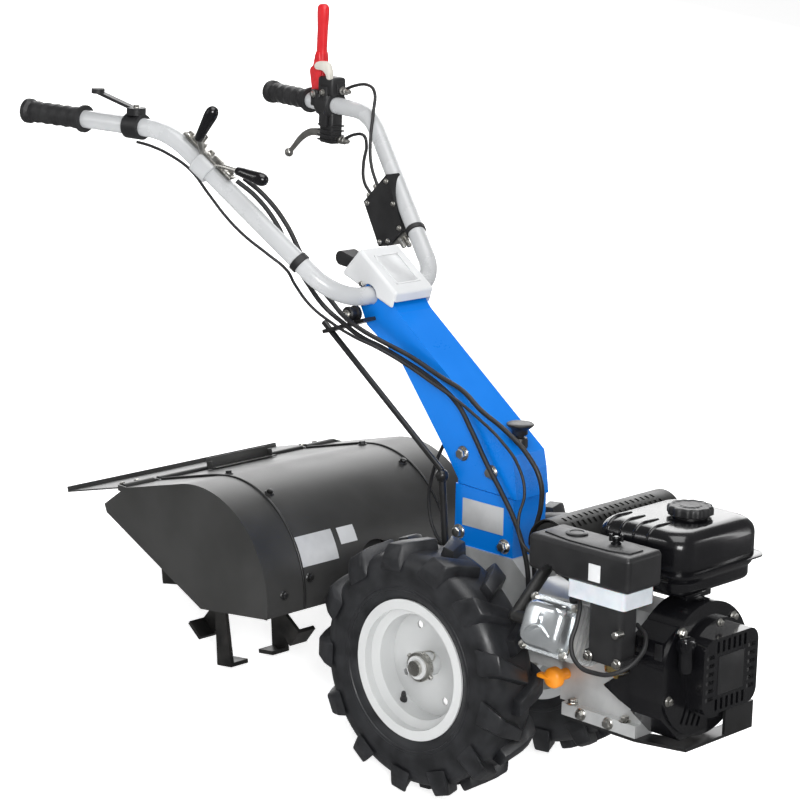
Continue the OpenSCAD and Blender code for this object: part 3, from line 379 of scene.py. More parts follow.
def raised(outline, levels):
    """A flat outline raised along Z through [height, share of width, share of depth]."""
    height, wide, deep = levels[0]
    drawn([(x * wide, y * deep, height) for x, y in outline], [], [list(range(len(outline)))])
    with edit():
        for high, across, along in levels[1:]:
            bpy.ops.mesh.extrude_region_move(TRANSFORM_OT_translate={"value": (0, 0, high - height)})
            bpy.ops.transform.resize(value=(across / wide, along / deep, 1), center_override=(0, 0, high))
            height, wide, deep = high, across, along
    return bpy.context.active_object


def turned(profile, corners=32):
    """A form turned on a lathe: a disc raised along Z through [radius, height] pairs."""
    first = profile[0][0]
    turns = [math.tau * i / corners for i in range(corners)]
    disc = [(first * math.sin(t), first * math.cos(t)) for t in turns]
    return raised(disc, [(high, wide / first, wide / first) for wide, high in profile])


def tube(points, radius, swell=None, around=3, smooth=6):
    """A round tube on a smooth path; swell gives each point its own share of the radius."""
    curve = bpy.data.curves.new("tube", "CURVE")
    curve.dimensions = "3D"
    curve.bevel_depth, curve.bevel_resolution = radius, around
    curve.resolution_u, curve.use_fill_caps = smooth, True
    spline = curve.splines.new("BEZIER")
    spline.bezier_points.add(len(points) - 1)
    for knot, point, share in zip(spline.bezier_points, points, swell or [1] * len(points)):
        knot.co, knot.radius = point, share
        knot.handle_left_type = knot.handle_right_type = "AUTO"
    fresh(curve)
    bpy.ops.object.convert(target="MESH")
    with edit():
        pass  # leaving edit mode merges the caps and turns the faces outwards
    return bpy.context.active_object


print("hands ready")

# %% [markdown]
# A finished piece keeps its place in its mesh and its object at the origin, as the solids do. What
# repeats is modelled once and copied, each copy with a mesh of its own, and then joined.

# %% Placing, copying and settling
MIRROR = Matrix.Scale(-1, 4, (0, 1, 0))


def shift(x, y, z):
    """A move in millimetres."""
    return Matrix.Translation((x, y, z))


def rotation(angle, axis):
    """A turn in degrees about an axis."""
    return Matrix.Rotation(math.radians(angle), 4, axis)


def put(piece, place):
    """Carry the mesh of a piece to its place and leave the object at the origin."""
    piece.data.transform(place @ piece.matrix_world)
    piece.matrix_world = Matrix()
    return piece


def joined(*pieces):
    """Several pieces made one."""
    bpy.ops.object.select_all(action="DESELECT")
    for piece in pieces:
        piece.select_set(True)
    bpy.context.view_layer.objects.active = pieces[0]
    bpy.ops.object.join()
    return bpy.context.active_object


def twin(piece):
    """A copy with a mesh of its own."""
    other = piece.copy()
    other.data = piece.data.copy()
    link(other)
    return other


def copies(master, places):
    """A copy of the master at each place, all joined."""
    others = [put(twin(master), place) for place in places[1:]]
    return joined(put(master, places[0]), *others)


def aim(point, direction, turn=0.0):
    """A place at a point with local Z along a direction."""
    along = Vector(direction).to_track_quat("Z", "Y").to_matrix().to_4x4()
    return Matrix.Translation(point) @ along @ rotation(turn, "Z")


def dress(piece, name, finish, angle):
    """Park a piece, name it, smooth it and give it its finish."""
    put(piece, MM)
    piece.name = piece.data.name = name
    alone(piece)
    with edit(merge=0):
        pass  # a mirrored piece gets its faces turned outwards again
    bpy.ops.object.shade_smooth_by_angle(angle=math.radians(angle))
    piece.data.materials.clear()
    piece.data.materials.append(finishes[finish].material)
    print(name, "faces", len(piece.data.polygons))


def settle(piece, name, slot, body="chassis", finish=None, replaces=None, angle=32):
    """Dress a piece and let it ride its body. Its finish is its slot's, unless another is named."""
    dress(piece, name, finish or slot, angle)
    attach(piece, body)
    if replaces:
        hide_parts(replaces)
    piece.select_set(False)


# %% [markdown]
# A field tyre has a plain round body and tall bars of rubber that bite into soil. Each bar starts
# past the middle of the tread, runs out to the shoulder and down the side wall, and its middle end
# leads when the machine drives forward. The body is one outline spun round the axle. One bar is
# drawn section by section, its edges are bevelled, and copies alternate from side to side.

# %% Tyres
WHEEL = shift(0, -145, 0) @ rotation(90, "X")
TREAD_RADIUS, BAR_COUNT, BAR_LEAD, BAR_FLANK = 207.5, 26, 26, 5
wall = [(102.2, 40.2), (115, 40.2), (120, 43.8), (125, 46.6), (129, 47.8), (130, 49.4), (134, 49.6),
        (135, 48.8), (143, 50.4), (151.5, 51), (160, 50.8), (168, 49.6), (174, 47.6), (180, 44), (185, 39),
        (188.4, 32), (189.9, 22)]
hollow = [(102.2, -22.2), (140, -40), (175.5, -32), (175.5, 32), (140, 40), (102.2, 22.2)]
body = spun(wall + [(r, -z) for r, z in reversed(wall)] + hollow, 4 * BAR_COUNT)
crown = math.sqrt(TREAD_RADIUS ** 2 - BAR_LEAD ** 2)
sections = [(crown, 181.5, -14.5, -8, 10.5), (crown - 0.5, 181.5, 5, 31, 13),
            (crown - 4, 175.5, 15, 47, 16), (crown - 26, 159.5, 20, 55, 17)]
corners = []
for top, foot, across, out, half in sections:
    corners += [(top, across - half, out), (top, across + half, out),
                (foot, across + half + BAR_FLANK, out), (foot, across - half - BAR_FLANK, out)]
skins = [(4 * j + k, 4 * j + 4 + k, 4 * j + 4 + (k + 1) % 4, 4 * j + (k + 1) % 4)
         for j in range(3) for k in range(4)]
bar = drawn(corners, [], [(0, 1, 2, 3), (15, 14, 13, 12)] + skins)
with edit():
    bpy.ops.mesh.bevel(offset=2.4, segments=2, affect="EDGES")
pointing_down = -90 - math.degrees(pitch) + math.degrees(math.atan2(BAR_LEAD - 1, TREAD_RADIUS))
other_side = Matrix.Scale(-1, 4, (0, 0, 1))
bar_places = []
for i in range(BAR_COUNT):
    turn = rotation(pointing_down + 360 * i / BAR_COUNT, "Z")
    bar_places.append(turn @ other_side if i % 2 else turn)
tyre = put(joined(body, copies(bar, bar_places)), WHEEL)
left_tyre = put(twin(tyre), MIRROR)
settle(tyre, "field_tyre_right", "tyre", "wheel_right", replaces="tyre_right")
settle(left_tyre, "field_tyre_left", "tyre", "wheel_left", replaces="tyre_left")

# %% [markdown]
# The wheel is held on its axle by a pin through the hub. A turned collar strengthens the tube there,
# the pin's ring keeps it from falling out, and the valve of the inner tube looks out of the rim.

# %% Hub pins and valves
for mirror, name in ((Matrix(), "right"), (MIRROR, "left")):
    collar = spun([(19.1, 12), (23.5, 12), (24, 13), (24, 23), (23.5, 24), (19.1, 24)], 32)
    through_hub = shift(0, 0, 18) @ rotation(62, "Z")
    pin = turned([(3.6, -29), (4, -28), (4, 28), (3.6, 29)], 16)
    put(pin, through_hub @ rotation(90, "X"))
    ring = tube([(4 + 11 * math.sin(a), 28 + 3 * math.cos(2 * a), 18 + 11 * math.cos(a))
                 for a in (0.2, 1.0, 1.8, 2.6, 3.4, 4.2, 5.0, 5.8)], 1.3, around=1, smooth=3)
    put(ring, rotation(-28, "Z"))
    settle(put(joined(collar, pin, ring), mirror @ WHEEL), "hub_pin_" + name, "steel", "wheel_" + name)
    valve = turned([(6, 0), (6, 5), (4.2, 8), (4.2, 20), (3.4, 21), (3.4, 27), (2.4, 28)], 16)
    lean = rotation(236, "Z") @ aim((86.6, 0, 4), (-0.86, 0, 0.5))
    settle(put(valve, mirror @ WHEEL @ lean), "tyre_valve_" + name, "rubber", "wheel_" + name)

# %% [markdown]
# Zinc flange bolts hold the machine together. A round flange and a hexagon head with a chamfered top
# are two turned forms. One bolt is made for each size and copied to its places, head outwards.

# %% Bolts on the frame
def flange_bolt(size):
    """A flange bolt by its size across the flats, head along Z."""
    flange = turned([(0.80 * size, 0), (0.82 * size, 0.06 * size), (0.66 * size, 0.2 * size)], 24)
    head = turned([(0.577 * size, 0.05 * size), (0.577 * size, 0.56 * size), (0.5 * size, 0.66 * size),
                   (0.3 * size, 0.7 * size)], 6)
    return joined(flange, head)


def bolts(name, size, spots, slot="steel", body="chassis"):
    """A bolt at each [point, direction], each turned a little further than the one before."""
    places = [aim(point, direction, 11 + 23 * i) for i, (point, direction) in enumerate(spots)]
    settle(copies(flange_bolt(size), places), name, slot, body, angle=25)


def on_circle(x, y, z, radius, angles, direction):
    """Spots on an upright circle across the machine, at angles in degrees."""
    turns = [math.radians(k) for k in angles]
    return [((x, y + radius * math.cos(a), z + radius * math.sin(a)), direction) for a in turns]


SIDES, CRANK_Z = (-1, 1), 72
right, left, front, back, up = (0, -1, 0), (0, 1, 0), (1, 0, 0), (-1, 0, 0), (0, 0, 1)
column_spots = ((-36, 320), (27, 301), (-40, 190), (58, 186))
bolts("column_bolts", 15, [((x, s * 38, z), (0, s, 0)) for s in SIDES for x, z in column_spots])
bolts("cover_screws", 8, [((-266, s * 43, 563), (0, s, 0)) for s in SIDES])
foot_spots = [((x, s * 79, -16), up) for s in SIDES for x in (246, 350)]
foot_spots += [((x, s * 85, -26), (0, s, 0)) for s in SIDES for x in (268, 322)]
bolts("foot_bolts", 12, foot_spots)
bolts("flange_bolts", 11, on_circle(-106, 0, 75, 44, range(30, 390, 60), back))
gearbox_turns = [math.radians(k) for k in range(20, 380, 60)]
bolts("gearbox_bolts", 11,
      [((53 * math.cos(a), s * 42, 53 * math.sin(a)), (0, s, 0)) for s in SIDES for a in gearbox_turns])
bolts("bell_bolts", 9, on_circle(122, 0, CRANK_Z, 68, range(25, 385, 45), back))
bolts("fan_bolts", 10, on_circle(437, 0, CRANK_Z, 93, (48, 132, 200, 340), front))

# %% [markdown]
# Every tine of the rotor is held on its flange by one bolt, so that a worn one can be changed. The
# rotor's frame is level when the machine is parked, because it turns freely.

# %% Bolts of the tines
HOOD_X, HOOD_Z = -432, 50
ROTOR = shift(HOOD_X, 0, HOOD_Z) @ Matrix.Rotation(pitch, 4, "Y")
gearcase_half, foot_length, rotor_half, rows = 24, 38, 233, 3
row_step = (rotor_half - gearcase_half - foot_length - 30) / (rows - 1)
tine_places = []
for side in SIDES:
    for row in range(rows):
        reach = gearcase_half + foot_length + 10 + row * row_step
        for k in range(4):
            face = -1 if k % 2 or row == rows - 1 else 1
            turn = rotation(45 * (row % 2 - 0.5) + 90 * k, "Y")
            spot = shift(0, side * (reach + face * 11), -36)
            head = rotation(-90 * face * side, "X")
            tine_places.append(ROTOR @ turn @ spot @ head)
settle(copies(flange_bolt(13), tine_places), "tine_bolts", "dark_steel", "rotor", angle=25)

# %% [markdown]
# Cables run from the levers along the tube, down the column and into the machine. They follow the
# same routes as the solids, as smooth round tubes. The ones from the right handle cross the joint of
# the handlebar, so the loom they make rides neither the column nor the handlebar.

# %% Control cables
handle_side = [[-164, -172, 185], [-141, -149, 158], [-114, -125, 113], [-84, -117, 64], [-66, -101, 20],
               [-54, -80, -10], [-22, -78, -34], [18, -74, -52], [54, -64, -66]]
clutch_side = [[-147, -52, 463], [-79, -50, 440], [-30, -48, 424], [8, -47, 400], [59, -45, 376],
               [108, -44, 344], [133, -42, 308], [134, -40, 270], [122, -38, 225], [118, -34, 180],
               [118, -30, 138]]
lever_side = [[-168, -184, 181], [-147, -160, 155], [-122, -136, 110], [-94, -129, 60], [-70, -112, 14],
              [-58, -88, -22], [-26, -76, -46], [14, -72, -64], [50, -62, -76]]
gear_side = [[-147, -50, 449], [-79, -49, 424], [-40, -48, 400], [-10, -48, 364], [22, -48, 320],
             [58, -48, 276], [90, -50, 236], [110, -52, 200], [120, -51, 165], [121, -48, 128]]
throttle_side = [[-350, -242, 230], [-320, -237, 226], [-285, -226, 214], [-250, -212, 192],
                 [-214, -204, 156], [-180, -196, 122], [-146, -186, 94], [-108, -168, 66], [-86, -148, 42],
                 [-88, -126, 14], [-76, -104, -20], [-40, -92, -44], [10, -86, -62], [50, -76, -74]]
engine_side = [[-147, -64, 452], [-79, -62, 428], [-30, -60, 410], [15, -60, 390], [66, -60, 362],
               [104, -62, 330], [122, -66, 290], [124, -80, 255], [140, -92, 225], [175, -95, 206],
               [215, -98, 196], [262, -102, 184], [304, -104, 172], [328, -105, 156], [334, -105, 145]]


def from_crossing(route):
    """A route that is written from the crossing tube of the handlebar."""
    return [CROSSING + Vector(p) for p in route]


clutch_cable = tube(from_crossing(handle_side) + clutch_side, 4)
gear_cable = tube(from_crossing(lever_side) + gear_side, 4)
throttle_cable = tube(from_crossing(throttle_side) + engine_side, 2.5)
loom = joined(clutch_cable, gear_cable, throttle_cable)
dress(loom, "cable_loom", "rubber", 50)
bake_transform(loom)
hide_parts("control_cables")
loom.select_set(False)

# %% [markdown]
# Two loops join the clutch casting to the flat box on the left handle, and one more cable leaves the
# column for the back of the gearbox. They stay on one body each, so they ride it as they are.

# %% Clutch loops and gearbox cable
upper = [[-375, 254, 284], [-340, 252, 296], [-302, 246, 300], [-274, 234, 290], [-254, 212, 260],
         [-234, 186, 214], [-208, 164, 172], [-188, 160, 140]]
lower = [[-375, 254, 194], [-342, 252, 208], [-312, 246, 210], [-290, 232, 196], [-270, 206, 170],
         [-240, 178, 142], [-206, 162, 124]]
loops = joined(tube(from_crossing(upper), 3), tube(from_crossing(lower), 3))
settle(loops, "clutch_cable_loops", "rubber", "handlebar_set", replaces="clutch_cables", angle=50)
gearbox_run = [[-66, -14, 372], [-93, -18, 328], [-120, -20, 264], [-126, -20, 215], [-112, -20, 172],
               [-86, -20, 147]]
settle(tube(gearbox_run, 3), "gearbox_cable_run", "rubber", replaces="gearbox_cable", angle=50)

# %% [markdown]
# The plug lead loops out of the fan housing and round the filter's foot to the plug, where a turned
# rubber boot grips it.

# %% Plug lead
lead = [[383, -102, 150], [412, -116, 140], [424, -146, 118], [408, -176, 98], [372, -182, 90],
        [338, -182, 96], [322, -178, 118], [318, -162, 150], [314, -152, 172], [302, -142, 180],
        [286, -134, 175]]
boot = turned([(6, 0), (7.5, 3), (7.5, 14), (5.4, 20), (5, 26), (4, 28)], 20)
put(boot, aim((283, -132, 171), (0.75, -0.3, 0.35)))
settle(joined(tube(lead, 3.5), boot), "plug_lead_run", "rubber", replaces="plug_lead", angle=50)

# %% [markdown]
# On the left handle sits the clutch casting: a clamp round the tube, a square upper body and a lower
# body with stiffening ribs. Cable adjusters of zinc come out of its front. The pieces are
# boxes with rounded edges and turned forms, set in the frame of the handle.

# %% Clutch casting and its adjusters
def frame_on(start, end, along):
    """A place on a straight from start to end: X along it, Z up."""
    start, end = Vector(start), Vector(end)
    way = (end - start).normalized()
    turn = Matrix.Rotation(math.atan2(way.y, way.x), 4, "Z") @ Matrix.Rotation(-math.asin(way.z), 4, "Y")
    return Matrix.Translation(start + along * way) @ turn


def handle(side):
    """The corners of the handlebar tube on one side: its foot, its bend and its end."""
    return (-250, side * 116, 546), (-531, side * 231, 800), (-843, side * 281, 808)


right_foot, right_bend, right_end = handle(-1)
left_foot, left_bend, left_end = handle(1)
LEFT_HANDLE = frame_on(left_bend, left_end, 124)
along_x = rotation(90, "Y")
clamp = put(spun([(15.2, -20), (22, -20), (24, -18), (24, 18), (22, 20), (15.2, 20)], 40), along_x)
casting = [clamp, block((-24, -18, 14), (20, 16, 50), 6, 3), block((-22, -14, -70), (17, 12, -12), 5, 3),
           block((-14, 11, -40), (10, 19, 34), 3), block((-26, -15, 20), (-20, 5, 40), 2),
           block((18, -4, -6), (37, 19, 24), 3, 3)]
casting += [block((-24.5, -16.5, z), (19, 14.5, z + 3.2), 1.2) for z in (-66, -57, -48, -39)]
for x in (-13, 11):
    barrel = turned([(5.5, -2), (6, 0), (6, 30), (5.5, 32)], 20)
    casting.append(put(barrel, shift(x, 17, -14)))
settle(put(joined(*casting), LEFT_HANDLE), "clutch_casting", "black_plastic", "handlebar_set",
       replaces="clutch_housing")
adjuster = [(7.5, 0), (7.5, 5), (5, 6), (5, 9), (7, 10), (7, 15), (4.6, 16), (4.4, 24), (3.4, 26)]
zinc = [put(turned(adjuster, 12), LEFT_HANDLE @ aim((-23, -8, z), back)) for z in (27, -62)]
screw_spots = ((-2, 18.6, 22), (28, 18.6, 16))
zinc += [put(flange_bolt(8), LEFT_HANDLE @ aim(spot, left)) for spot in screw_spots]
settle(joined(*zinc), "clutch_adjusters", "steel", "handlebar_set")

# %% [markdown]
# The red clutch lever stands up from a broad root, the cream latch in front of it keeps it from
# being pressed by chance, and the polished reverse lever sweeps down to a ball that a hand can feel.
# Rods that swell and thin are tubes, root and latch are flat outlines, and the ball is turned.

# %% Clutch levers
lever_path = [(33, 0, 40), (33, 0, 62), (31.5, 0, 96), (30.5, 0, 130), (30, 0, 158), (30, 0, 170),
              (30, 0, 175), (30, 0, 177)]
lever = tube(lever_path, 10.5, [1.45, 1.3, 1.05, 1.05, 1.2, 1.18, 0.9, 0.5], around=6)
put(lever, Matrix.Scale(0.82, 4, left))
on_edge = rotation(90, "X")
root_outline = [(19, 16), (46, 16), (49, 30), (56, 56), (52, 62), (45, 66), (41, 82), (37, 92), (25, 92),
                (21, 62)]
root = put(plate(root_outline, -11, 11, 4, 3), on_edge)
settle(put(joined(lever, root), LEFT_HANDLE), "clutch_lever_red", "red_plastic", "handlebar_set",
       replaces="clutch_lever", angle=45)
latch_outline = [(-22, 46), (-13, 46), (-9, 54), (0, 60), (12, 61), (22, 60), (27, 63), (28, 68), (24, 73),
                 (12, 77), (-5, 78), (-15, 74), (-21, 62)]
latch = put(plate(latch_outline, -20, -8.5, 3.5, 3), on_edge)
settle(put(latch, LEFT_HANDLE), "latch_cream", "cream_plastic", "handlebar_set", replaces="lever_latch")
swept_path = [(12, 0, -56), (40, 0, -55), (66, 0, -60), (92, 0, -74), (112, 0, -91), (126, 0, -103)]
swept = tube(swept_path, 7, [1.1, 1.1, 1.0, 0.9, 0.75, 0.7], around=5)
put(swept, Matrix.Scale(0.85, 4, left))
ball = turned([(3, -8.4), (6, -6.4), (8, -3.2), (8.6, 0), (8, 3.2), (6, 6.4), (3, 8.4)], 24)
put(ball, shift(129, 0, -105))
settle(put(joined(swept, ball), LEFT_HANDLE), "reverse_lever_polished", "steel", "handlebar_set",
       replaces="reverse_lever", angle=45)

# %% [markdown]
# Two gear levers stand on a zinc plate that a strap clamps on the right tube. Their rods are bent
# steel and their knobs are drops of glossy black plastic, turned from one outline.

# %% Gear levers
rise_length = (Vector(right_bend) - Vector(right_foot)).length
RISE = frame_on(right_foot, right_bend, rise_length - 84)
strap = put(spun([(15.2, -16), (19, -16), (20, -15), (20, 15), (19, 16), (15.2, 16)], 40), along_x)
settle(put(strap, RISE), "gear_plate_strap", "tube_paint", "handlebar_set")
plates = [block((-50, -12, 18), (60, 12, 23), 1.6), block((20, -9, 22), (44, 9, 30), 2),
          block((-30, 2, 22), (-4, 12, 32), 2)]
levers = [put(part, RISE) for part in plates]
levers += [put(flange_bolt(9), RISE @ aim((x, y, 22.5), up)) for x, y in ((-40, -3), (52, 0), (6, -5))]
for z in (8, 11.5, 15):
    coil = spun([(5, z), (6.6, z + 1), (6.6, z + 2.2), (5, z + 3.2)], 20)
    levers.append(put(coil, RISE @ aim((32, 0, 22), up)))
levers += [tube([(-468, -213, 769), (-466, -219, 782), (-464, -225, 796)], 5),
           tube([(-447, -205, 751), (-424, -203, 750), (-395, -200, 746)], 4)]
settle(joined(*levers), "gear_lever_plate", "steel", "handlebar_set", replaces="gear_levers")
drop = [(6.2, 0), (7.4, 1.5), (8, 12), (9.2, 28), (10.8, 46), (11.2, 54), (10.2, 61), (7.4, 66.5), (3, 69)]
knobs = [put(turned(drop, 28), aim((-466, -225, 792), (35, 0, 48))),
         put(turned([(r, 0.9 * h) for r, h in drop], 28), aim((-399, -200, 747), (50, 9, -10)))]
settle(joined(*knobs), "gear_knobs", "black_gloss", "handlebar_set", angle=50)

# %% [markdown]
# Small things on the tubes: ties that gather the cables, a screw on the throttle, and the screws,
# bracket and ferrules of the flat box where the clutch cables part. A tie is a ring spun round its tube.

# %% Ties, screws and ferrules
TUBE_RADIUS = 15


def band_on(start, end, along, wide, thick):
    """A strap round the tube that runs from start to end."""
    half, inner, outer = wide / 2, TUBE_RADIUS + 0.1, TUBE_RADIUS + thick
    ring = spun([(inner, -half), (outer, 1 - half), (outer, half - 1), (inner, half)], 36)
    return put(ring, frame_on(start, end, along) @ along_x)


ties = [band_on(right_foot, right_bend, 88, 13, 2.6),
        put(block((-7, -26, -4), (7, -16, 5), 2), frame_on(right_foot, right_bend, 88)),
        band_on(left_foot, left_bend, 120, 10, 2.2)]
settle(joined(*ties), "cable_ties", "rubber", "handlebar_set")
box_screws = [(-158, 153), (-203, 110), (-171, 46), (-151, 50), (-124, 76), (-140, 116)]
screws = [put(flange_bolt(6), aim(CROSSING + Vector((x, 150, z)), right)) for x, z in box_screws]
bracket_at, bracket_way = Vector((-384, 166, 604)), Vector((0.675, 0, -0.738))
screws += [put(block((-18, -9, 0), (18, 9, 3.5), 1.2), aim(bracket_at, bracket_way, 90))]
for y in (-6, 7):
    ferrule = turned([(5.5, 0), (5.5, 6), (4.4, 7), (4.4, 16), (3.4, 18)], 16)
    screws.append(put(ferrule, aim(bracket_at + Vector((0, y, 0)) + 3 * bracket_way, bracket_way)))
for point, way in (((-438, 160, 680), (-0.7, 0.05, 0.71)), ((-456, 162, 663), (-0.75, 0.1, 0.66))):
    screws.append(put(turned([(4.6, 0), (4.6, 9), (3.6, 11)], 16), aim(point, way)))
screws.append(put(flange_bolt(8), frame_on(right_bend, right_end, 72) @ aim((0, 0, 30.5), up)))
settle(joined(*screws), "box_screws", "steel", "handlebar_set", angle=25)

# %% [markdown]
# The pale cover over the column's head has a framed field on its sloping top. Four thin bars with
# rounded edges make the frame, and a flat silver field lies inside it, all set on the slope.

# %% Column cover
slope = math.atan2(-56, 78)
SLOPE = Matrix.Translation(CROSSING + Vector((20.4, 0, 42.6))) @ Matrix.Rotation(-slope, 4, "Y")
frame_bars = [block((-34, y, -1), (34, y + 3, 1.4), 0.8) for y in (-27, 24)]
frame_bars += [block((x, -27, -1), (x + 3, 27, 1.4), 0.8) for x in (-34, 31)]
settle(put(joined(*frame_bars), SLOPE), "cover_frame", "grey_plastic")
cover_field = put(block((-31, -24, -1), (31, 24, 0.5), 0.4), SLOPE)
settle(cover_field, "cover_field", "grey_plastic", finish="blank_silver")

# %% [markdown]
# A grooved roller on the column guides the cables. It is turned from one outline and held by a bolt.
# Plain plates, thin boxes with soft edges, lie on the column's base, the fan housing and the filter.

# %% Roller and plates
roller = turned([(11, 0), (13, 1.5), (13, 7), (10, 9), (10, 15), (13, 17), (13, 22), (11, 24)], 28)
settle(put(roller, aim((-279, -41, 512), right)), "cable_roller", "black_plastic")
bolts("roller_bolt", 10, [((-279, -65, 512), right)])
base_plate = block((-33, -39.2, 203), (55, -37.6, 248), 0.5)
settle(base_plate, "base_plate_blank", "steel", finish="blank_silver")
settle(block((416, -99.2, 42), (430, -97.6, 128), 0.5), "fan_strip_blank", "black_plastic")
filter_label = block((345, -172.9, 224), (367, -171.4, 250), 0.4)
settle(filter_label, "filter_label_blank", "cream_plastic", finish="blank_white")

# %% [markdown]
# Two plain plates lie on the round front of the tiller hood. Each is a strip of small faces along the
# bend of the sheet, thickened by a modifier so that it hugs the curve. Bolts follow the same round,
# and four more hold the flap to its hinge.

# %% Plates and bolts on the hood
HOOD_SKIN = 174.5


def on_hood(angle, y, clear=0.0):
    """A point on the round of the hood, at an angle in degrees and a little clear of its skin."""
    a, reach = math.radians(angle), HOOD_SKIN + clear
    return Vector((HOOD_X + reach * math.cos(a), y, HOOD_Z + reach * math.sin(a)))


def bent_plate(name, y0, y1, low, high, slot, finish):
    """A plate on the round of the hood between two widths and two angles."""
    steps = 10
    corners = []
    for i in range(steps + 1):
        corners += [on_hood(low + (high - low) * i / steps, y, 0.05) for y in (y0, y1)]
    piece = drawn(corners, [], [(2 * i, 2 * i + 1, 2 * i + 3, 2 * i + 2) for i in range(steps)])
    thick = piece.modifiers.new("sheet", "SOLIDIFY")
    thick.thickness, thick.offset = 0.8, -1
    bpy.ops.object.modifier_apply(modifier=thick.name)
    settle(piece, name, slot, finish=finish)


bent_plate("hood_plate_silver", -168, -86, 18, 35, "steel", "blank_silver")
bent_plate("hood_plate_white", -74, -36, 25, 34.5, "cream_plastic", "blank_white")
hood_spots = []
for s in SIDES:
    for y, angle in ((158, 66), (158, 12), (218, 6), (158, 100)):
        outwards = (math.cos(math.radians(angle)), 0, math.sin(math.radians(angle)))
        hood_spots.append((on_hood(angle, s * y), outwards))
bolts("hood_bolts", 10, hood_spots, "black_paint")
hinge, fall = Vector((-633.3, 0, 179.6)), math.radians(14)
slide_down = Vector((-math.cos(fall), 0, -math.sin(fall)))
lift = Vector((-math.sin(fall), 0, math.cos(fall)))
flap_line = hinge + 26 * slide_down + 1.25 * lift
flap_spots = [(flap_line + Vector((0, s * y, 0)), lift) for s in SIDES for y in (196, 228)]
bolts("flap_bolts", 9, flap_spots, body="flap")

# %% [markdown]
# Where the hood's end wings meet its middle sheet, a black bead covers the seam. A long rod closes
# the gap at the hinge, and an upright fold stiffens the hood's rear edge. The bead is a tube on a
# path over the sheet, the rod is turned, and the fold is made of thin boxes on the slope.

# %% Seams and rear edge of the hood
seam = [hinge - run * slide_down + 1.5 * lift for run in (14, 60, 110, 150)]
seam += [on_hood(angle, 0, 0.1) for angle in range(100, -5, -8)]
beads = [tube([p + Vector((0, s * 172, 0)) for p in seam], 2.6, smooth=3) for s in SIDES]
settle(joined(*beads), "hood_seams", "black_paint", angle=50)
rod = turned([(5.8, 0), (6.8, 1), (6.8, 341), (5.8, 342)], 24)
settle(put(rod, aim(hinge - Vector((0, 171, 0)), left)), "hinge_rod", "black_paint")
REAR = Matrix.Translation(hinge) @ Matrix.Rotation(-fall, 4, "Y")
fold = [block((18, -72, 1.3), (44, 72, 3.6), 0.8), block((18, -72, 1.3), (20.6, 72, 21), 0.8)]
fold += [block((18, y - 1.3, 1.3), (32, y + 1.3, 15), 0.8) for y in (-70.6, 70.6)]
settle(put(joined(*fold), REAR), "hood_fold", "dark_paint")

# %% [markdown]
# The filter cover carries a raised field with a round boss, and a wing nut holds it down. The field is
# a flat outline, thickened and bevelled. Boss and nut are turned, and two small boxes are the wings.

# %% Filter cover
field_outline = [(240, -152), (240, -116), (296, -104), (372, -104), (404, -120), (404, -150), (372, -160),
                 (296, -162)]
field = plate(field_outline, 268, 273, 1.5, 3)
boss = turned([(17, 0), (17, 3), (14.5, 4.2), (11, 4.2), (10, 3.2), (3, 3.2)], 32)
put(boss, shift(283, -128, 272))
settle(joined(field, boss), "filter_cover_field", "black_plastic")
NUT, nut_turn = shift(357, -126, 272.5), Matrix.Rotation(0.6, 4, "Z")
nut = [put(turned([(8, 0), (8, 3), (5.5, 4), (5.5, 10), (3, 12)], 20), NUT)]
for s in SIDES:
    nut_wing = block((8 * s - 3, -2, 4), (8 * s + 3, 2, 16), 1.6)
    nut.append(put(nut_wing, NUT @ nut_turn))
settle(joined(*nut), "filter_wing_nut", "black_gloss")

# %% [markdown]
# The valve cover is pressed from bright sheet: a flange with round corners, a dome that narrows in
# steps, and ribs that meet on its top. It sits on the slanting cylinder head, which has a place of its
# own with Z along the cylinder. Four bolts hold the cover, and two more hold the filter's body.

# %% Valve cover and its bolts
HEAD = shift(262, 0, CRANK_Z) @ rotation(70, "X")
cover_corners = [shift(sx * 40, sy * 37, 170) for sx in SIDES for sy in SIDES]
cover_bolts = [put(flange_bolt(9), HEAD @ corner) for corner in cover_corners]
cover_bolts += [put(flange_bolt(10), aim((x, -167, 107), right)) for x in (346, 400)]
settle(joined(*cover_bolts), "cover_bolts", "steel", angle=25)
flange = raised(soft_rect(92, 86, 14), [(165.2, 1, 1), (169, 1, 1), (170.2, 0.975, 0.975)])
dome_steps = [(169, 1, 1), (175, 0.985, 0.98), (184, 0.95, 0.93), (190, 0.88, 0.86), (193.6, 0.79, 0.76),
              (195, 0.68, 0.64)]
dome = raised(soft_rect(82, 76, 20), dome_steps)
ribs = [tube([(-24, -15, 191), (-17, -11, 195), (0, -2, 195.6), (17, -11, 195), (24, -15, 191)], 3.6),
        tube([(0, -2, 194), (0, 10, 195.6), (0, 20, 191)], 3.6)]
settle(put(joined(flange, dome, *ribs), HEAD), "valve_cover_pressed", "bright_cover",
       replaces="valve_cover", angle=40)

# %% [markdown]
# The oil dipstick closes the crankcase with a cap of orange plastic. The cap is turned, and a rounded
# box across it is the wing that gives the fingers a hold.

# %% Dipstick
stick = turned([(9, 0), (9, 21), (14, 22), (16.5, 24), (16.5, 33), (14.5, 37), (9, 39.6), (3, 40.6)], 32)
wing = block((-27, -3.6, 26), (4, 3.6, 41), 3, 3)
settle(put(joined(stick, wing), aim((225, -71.4, 26), right)), "dipstick_wing", "orange_plastic",
       replaces="oil_dipstick", angle=40)

# %% [markdown]
# The fuel tank is pressed from two halves that meet in a flat lip. Its upper half has generous round
# edges, so that lacquer and light flow over them, and four beads stiffen the sheet beside the filter.
# Each half is a soft rectangle raised in steps along a quarter circle, and the beads are tubes that
# lie half sunk in the sheet.

# %% Fuel tank
TANK = shift(335, 48, 182)


